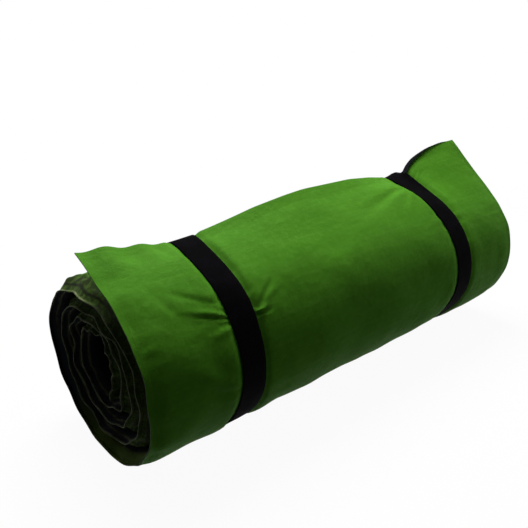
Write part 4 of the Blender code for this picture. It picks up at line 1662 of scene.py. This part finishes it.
@dataclass
class ElasticBand:
    """One elastic band pulled tight round the roll, its ends lapped and sewn at the back."""

    surface: MatSurface
    side: Side
    lap: float = 0.045
    ramp: float = 0.016
    lap_start: float = math.radians(-16.0)
    steps: int = 300
    edge_round: float = 0.0006
    across_places: tuple[float, ...] = (-0.0122, -0.0085, -0.0045, 0.0, 0.0045, 0.0085, 0.0122)
    overlap: float = 0.1
    smoothings: int = 3
    lap_gap: float = 0.0001
    flats: int = 9
    bow: float = 0.22
    edge_share: float = 0.45
    seam_inset: float = 0.0035
    seam_end: float = 0.006
    stitch_pitch: float = 0.0027
    stitch_span: tuple[float, float] = (0.11, 0.89)
    stitch_thick: float = 0.00028
    stitch_lift: float = 0.00008

    def outline(self, across: float) -> Array:
        """Tight convex line round the roll at a place across the band, evenly divided, as (y, z).

        Args:
            across: Place across the band, from its centre line.

        Returns:
            The points of the line.
        """
        x = np.array([self.surface.bands.centre(self.side) + across])
        found = []
        for station in self.surface.stations():
            if station.distance is None and station.turned <= TAU + self.overlap:
                point = self.surface.points(station, x, Layer.TOP_OUTSIDE)[0]
                found.append((point[1], point[2]))
        ordered = sorted(found)
        corners: list[tuple[float, float]] = []
        for items in (ordered, ordered[::-1]):
            chain: list[tuple[float, float]] = []
            for item in items:
                while len(chain) >= 2:
                    (ay, az), (by, bz) = chain[-2], chain[-1]
                    if (by - ay) * (item[1] - az) - (bz - az) * (item[0] - ay) > 0.0:
                        break
                    chain.pop()
                chain.append(item)
            corners += chain[:-1]
        loop = np.array(corners + corners[:1])
        run = np.concatenate(([0.0], np.cumsum(np.linalg.norm(np.diff(loop, axis=0), axis=1))))
        even = np.linspace(0.0, run[-1], self.steps, endpoint=False)
        line = np.stack((np.interp(even, run, loop[:, 0]), np.interp(even, run, loop[:, 1])), axis=1)
        for _ in range(self.smoothings):
            line = 0.5 * line + 0.25 * (np.roll(line, 1, axis=0) + np.roll(line, -1, axis=0))
        return line

    def polar(self, line: Array) -> tuple[Array, Array]:
        """Angle and radius round the roll's axis of every point of a line."""
        up = line[:, 1] - self.surface.winding.axis_height
        return np.arctan2(up, line[:, 0]), np.hypot(line[:, 0], up)

    def path(self) -> tuple[Array, Array, Array, Array]:
        """Centre line of the band with its lap, its outward normals, its run and its slants.

        Returns:
            Points (y, z), normals (y, z), the run, and for each point how far outward of the
            centre line the band lies at its places across.
        """
        line = self.outline(0.0)
        angle, radius = self.polar(line)
        slants = []
        for across in self.across_places:
            edge_angle, edge_radius = self.polar(self.outline(across))
            order = np.argsort(edge_angle)
            there = np.interp(angle, edge_angle[order], edge_radius[order], period=TAU)
            slants.append(there - radius)
        start = int(np.argmin(np.abs(angle - self.lap_start)))
        slant = np.roll(np.stack(slants, axis=1), -start, axis=0)
        line = np.roll(line, -start, axis=0)
        ahead = np.roll(line, -1, axis=0) - np.roll(line, 1, axis=0)
        normal = np.stack((ahead[:, 1], -ahead[:, 0]), axis=1)
        normal /= np.linalg.norm(normal, axis=1)[:, None]
        step = float(np.linalg.norm(np.diff(line, axis=0), axis=1).mean())
        extra = round(self.lap / step)
        order = np.concatenate((np.arange(len(line)), np.arange(extra)))
        run = np.arange(len(order)) * step
        bands = self.surface.bands
        raised = smooth_step(run, len(line) * step - self.ramp, self.ramp)
        away = bands.gap + bands.thickness / 2.0 + raised * (bands.thickness + self.lap_gap)
        centre = line[order] + normal[order] * away[:, None]
        low = bands.ground_gap + bands.thickness / 2.0
        centre[:, 1] = np.maximum(centre[:, 1], low)
        return centre, normal[order], run, slant[order]

    def lifted(self, slant: Array, across: float) -> float:
        """How far outward of its centre line the band lies at a place across it."""
        return float(np.interp(across, self.across_places, slant))

    def profile(self) -> list[tuple[float, float]]:
        """Half-round edged section of the band, as (across, through) points.

        Returns:
            The points in order.
        """
        half = self.surface.bands.width / 2.0
        thick = self.surface.bands.thickness / 2.0
        corner = self.edge_round
        flat = np.linspace(-half + corner, half - corner, self.flats)
        bow = 1.0 - self.bow * (flat / half) ** 4
        top = [(float(x), float(thick * b)) for x, b in zip(flat, bow)]
        under = [(float(x), float(-thick * b)) for x, b in zip(flat[::-1], bow[::-1])]
        edge = self.edge_share * thick
        return top + [(half, edge), (half, -edge)] + under + [(-half, -edge), (-half, edge)]

    def strip(self, finish: bpy.types.Material) -> bpy.types.Object:
        """Makes the band itself, with UV map "band" along and across it.

        Args:
            finish: Its finish.

        Returns:
            The band.
        """
        centre, normal, run, slants = self.path()
        section = self.profile()
        x0 = self.surface.bands.centre(self.side)
        low = self.surface.bands.ground_gap
        points, layout = [], []
        for place, out, along, slant in zip(centre, normal, run, slants):
            for across, through in section:
                y, z = place + out * (through + self.lifted(slant, across))
                points.append((x0 + across, float(y), max(float(z), low)))
                layout.append((across, along))
        count, rings = len(section), len(centre)
        faces: list[tuple[int, ...]] = []
        for ring in range(rings - 1):
            for index in range(count):
                after = (index + 1) % count
                near, far = ring * count, (ring + 1) * count
                faces.append((near + index, near + after, far + after, far + index))
        faces.append(tuple(range(count)))
        faces.append(tuple(range((rings - 1) * count, rings * count))[::-1])
        name = f"{self.side.value}_elastic_band"
        mesh = bpy.data.meshes.new(name)
        mesh.from_pydata(points, [], faces)
        mesh.materials.append(finish)
        corners = np.zeros(len(mesh.loops), np.int32)
        mesh.loops.foreach_get("vertex_index", corners)
        band = mesh.uv_layers.new(name="band")
        band.data.foreach_set("uv", np.array(layout)[corners].ravel())
        return placed(name, mesh, sharp=60.0)

    def seam_lines(self) -> list[tuple[float, float, float, float]]:
        """Stitch lines on the lap, as (across, along) from and to, measured from its middle.

        Returns:
            The four sides of the box and its two diagonals.
        """
        wide = self.surface.bands.width / 2.0 - self.seam_inset
        long = self.lap / 2.0 - self.seam_end
        box = [(-wide, -long, wide, -long), (wide, -long, wide, long)]
        box += [(wide, long, -wide, long), (-wide, long, -wide, -long)]
        return box + [(-wide, -long, wide, long), (wide, -long, -wide, long)]

    def stitches(self, finish: bpy.types.Material) -> bpy.types.Object:
        """Makes the box of stitches, crossed by its two diagonals, that holds the lap.

        Args:
            finish: Their finish.

        Returns:
            The stitches, as one piece.
        """
        centre, normal, run, slants = self.path()
        middle = run[-1] - self.lap / 2.0
        x0 = self.surface.bands.centre(self.side)
        lift = self.surface.bands.thickness / 2.0 + self.stitch_lift
        work = bmesh.new()
        for x1, s1, x2, s2 in self.seam_lines():
            distance = math.hypot(x2 - x1, s2 - s1)
            count = max(1, round(distance / self.stitch_pitch))
            for index in range(count):
                ends = []
                for part in self.stitch_span:
                    share = (index + part) / count
                    across, along = x1 + (x2 - x1) * share, middle + s1 + (s2 - s1) * share
                    place = np.array([np.interp(along, run, centre[:, k]) for k in (0, 1)])
                    out = np.array([np.interp(along, run, normal[:, k]) for k in (0, 1)])
                    slant = np.array([np.interp(along, run, row) for row in slants.T])
                    raised = lift + self.lifted(slant, across)
                    ends.append(Vector((x0 + across, *(place + out * raised))))
                self.stitch(work, ends[0], ends[1], Vector((0.0, *out)), self.stitch_thick)
        name = f"{self.side.value}_band_stitches"
        mesh = bpy.data.meshes.new(name)
        work.to_mesh(mesh)
        work.free()
        mesh.materials.append(finish)
        return placed(name, mesh, sharp=80.0)

    @staticmethod
    def stitch(work: bmesh.types.BMesh, start: Vector, end: Vector, out: Vector, thick: float) -> None:
        """Adds one arched stitch between two points.

        Args:
            work: Mesh that it is added to.
            start: Where the thread comes up.
            end: Where it goes down.
            out: Direction away from the band.
            thick: Half of the thread's thickness, in metres.
        """
        along = (end - start).normalized()
        side = along.cross(out).normalized()
        rings = []
        for share, size, rise in ((0.0, 0.45, 0.0), (0.2, 1.0, 0.8), (0.8, 1.0, 0.8), (1.0, 0.45, 0.0)):
            centre = start.lerp(end, share) + out * (thick * rise)
            ring = []
            for index in range(6):
                turn = TAU * index / 6.0
                ring.append(work.verts.new(
                    centre + (side * math.cos(turn) + out * math.sin(turn)) * thick * size))
            rings.append(ring)
        for first, second in zip(rings, rings[1:]):
            for index in range(6):
                after = (index + 1) % 6
                work.faces.new((first[index], first[after], second[after], second[index]))
        work.faces.new(rings[0][::-1])
        work.faces.new(rings[-1])

    def build(self, elastic: bpy.types.Material, thread: bpy.types.Material) -> None:
        """Makes the band and its stitches and puts them on the band's body.

        Args:
            elastic: Finish of the band.
            thread: Finish of the stitches.
        """
        body = f"{self.side.value}_band"
        strip = self.strip(elastic)
        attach(strip, body)
        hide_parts(f"strap_{self.side.value}")
        seam = self.stitches(thread)
        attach(seam, body)
        LOG.info("%s band: %d faces, its stitches: %d", self.side.value, len(strip.data.polygons),
                 len(seam.data.polygons))


@dataclass
class AirValve:
    """The valve at the inner end: its CAD pieces with their finishes."""

    def build(self) -> None:
        """Gives each piece its finish."""
        plastic, rubber = PLASTIC.build(), RUBBER.build()
        for node in ("valve_body", "valve_plug", "valve_cap"):
            self.dress(node, plastic)
        self.dress("valve_seal", rubber)
        LOG.info("valve dressed")

    @staticmethod
    def dress(node: str, finish: bpy.types.Material) -> None:
        """Puts a finish on a CAD node.

        Args:
            node: Name of the node.
            finish: The finish.
        """
        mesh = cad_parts[node].data
        mesh.materials.clear()
        mesh.materials.append(finish)


@dataclass
class Studio:
    """Pale floor, soft light from above, white surroundings and the photograph's viewpoint."""

    place: Place = (-0.42292, -0.44704, 0.36577)
    right: Place = (0.76818, -0.63994, -0.01956)
    up: Place = (0.25525, 0.27809, 0.92602)
    forward: Place = (0.58716, 0.71634, -0.37696)
    lens: float = 41.54
    sensor: float = 36.0
    near_clip: float = 0.01
    floor_size: float = 12.0
    floor_drop: float = 0.0002
    floor_grey: float = 0.09
    floor_white: float = 0.90
    floor_oval: Place = (0.62, 1.0, 0.0)
    near_floor: float = 0.30
    far_floor: float = 0.62
    near_glow: float = 0.95
    key_place: Place = (0.16, 0.46, 1.24)
    key_aim: Place = (0.0, 0.0, 0.1)
    key_size: float = 0.8
    key_power: float = 23.0
    fill_place: Place = (0.60, -0.35, 0.45)
    fill_aim: Place = (0.15, 0.0, 0.1)
    fill_size: float = 0.4
    fill_power: float = 0.95
    world_strength: float = 0.020

    def camera(self) -> None:
        """Puts the camera where the photograph was taken from."""
        data = bpy.data.cameras.new("camera")
        data.lens = self.lens
        data.sensor_width = self.sensor
        data.clip_start = self.near_clip
        camera = bpy.data.objects.new("camera", data)
        bpy.context.scene.collection.objects.link(camera)
        turned = Matrix((self.right, self.up, [-value for value in self.forward])).transposed()
        camera.matrix_world = Matrix.Translation(self.place) @ turned.to_4x4()
        bpy.context.scene.camera = camera

    def floor(self) -> None:
        """Makes the floor, white to the camera and in gloss, and grey in the light that it sends back."""
        bpy.ops.object.select_all(action="DESELECT")
        bpy.ops.mesh.primitive_plane_add(size=self.floor_size, location=(0.0, 0.0, -self.floor_drop))
        floor = bpy.context.active_object
        floor.name = "floor"
        bpy.ops.object.transform_apply(location=True, rotation=True, scale=True)
        shader = Shader("pale_floor")
        output = shader.tree.nodes["Material Output"]
        plain = shader.node("ShaderNodeBsdfDiffuse", Color=(*[self.floor_grey] * 3, 1.0))
        white = shader.node("ShaderNodeBsdfDiffuse", Color=(*[self.floor_white] * 3, 1.0))
        glow = shader.node("ShaderNodeEmission", Color=(1.0, 1.0, 1.0, 1.0), Strength=1.0)
        seen = shader.node("ShaderNodeMixShader")
        place = shader.node("ShaderNodeMapping")
        place.inputs["Scale"].default_value = self.floor_oval
        shader.link(shader.node("ShaderNodeTexCoord").outputs["Object"], place.inputs["Vector"])
        away = shader.node("ShaderNodeVectorMath", operation="LENGTH")
        shader.link(place.outputs["Vector"], away.inputs[0])
        far = shader.between(away.outputs["Value"], self.near_floor, self.far_floor, self.near_glow, 1.0)
        shader.link(far, seen.inputs["Fac"])
        shader.link(white.outputs[0], seen.inputs[1])
        shader.link(glow.outputs[0], seen.inputs[2])
        choice = shader.node("ShaderNodeMixShader")
        shader.link(background_rays(shader.tree), choice.inputs["Fac"])
        shader.link(plain.outputs[0], choice.inputs[1])
        shader.link(seen.outputs[0], choice.inputs[2])
        shader.link(choice.outputs[0], output.inputs["Surface"])
        floor.data.materials.append(shader.material)

    def world(self) -> None:
        """Makes the surroundings, white to the camera and in gloss, and dim as light."""
        world = bpy.data.worlds.new("studio")
        world.use_nodes = True
        nodes, links = world.node_tree.nodes, world.node_tree.links
        dim, white = nodes["Background"], nodes.new("ShaderNodeBackground")
        for light, strength in ((dim, self.world_strength), (white, 1.0)):
            light.inputs["Strength"].default_value = strength
            light.inputs["Color"].default_value = (1.0, 1.0, 1.0, 1.0)
        choice = nodes.new("ShaderNodeMixShader")
        links.new(background_rays(world.node_tree), choice.inputs["Fac"])
        links.new(dim.outputs[0], choice.inputs[1])
        links.new(white.outputs[0], choice.inputs[2])
        links.new(choice.outputs[0], nodes["World Output"].inputs["Surface"])
        bpy.context.scene.world = world

    def lamp(self, name: str, place: Place, aim: Place, size: float, power: float) -> None:
        """Adds a square soft light.

        Args:
            name: Name of the light.
            place: Where it hangs.
            aim: Point that it faces.
            size: Length of its side.
            power: Its power in watts.
        """
        data = bpy.data.lights.new(name, "AREA")
        data.shape = "SQUARE"
        data.size = size
        data.energy = power
        lamp = bpy.data.objects.new(name, data)
        bpy.context.scene.collection.objects.link(lamp)
        facing = (Vector(aim) - Vector(place)).to_track_quat("-Z", "Y").to_matrix().to_4x4()
        lamp.matrix_world = Matrix.Translation(place) @ facing

    def build(self) -> None:
        """Makes camera, floor, surroundings and lights."""
        self.camera()
        self.floor()
        self.world()
        self.lamp("overhead", self.key_place, self.key_aim, self.key_size, self.key_power)
        self.lamp("front_fill", self.fill_place, self.fill_aim, self.fill_size, self.fill_power)
        bpy.context.scene.view_settings.view_transform = "Standard"
        LOG.info("studio ready")


def main() -> None:
    """Builds the dressed mat and its studio."""
    logging.basicConfig(level=logging.INFO, format="%(name)s: %(message)s")
    Studio().build()
    surface = MatSurface()
    Mat(surface).build()
    elastic, thread = ElasticFinish().build(), THREAD.build()
    for side in Side:
        ElasticBand(surface, side).build(elastic, thread)
    AirValve().build()


if __name__ == "__main__":
    main()
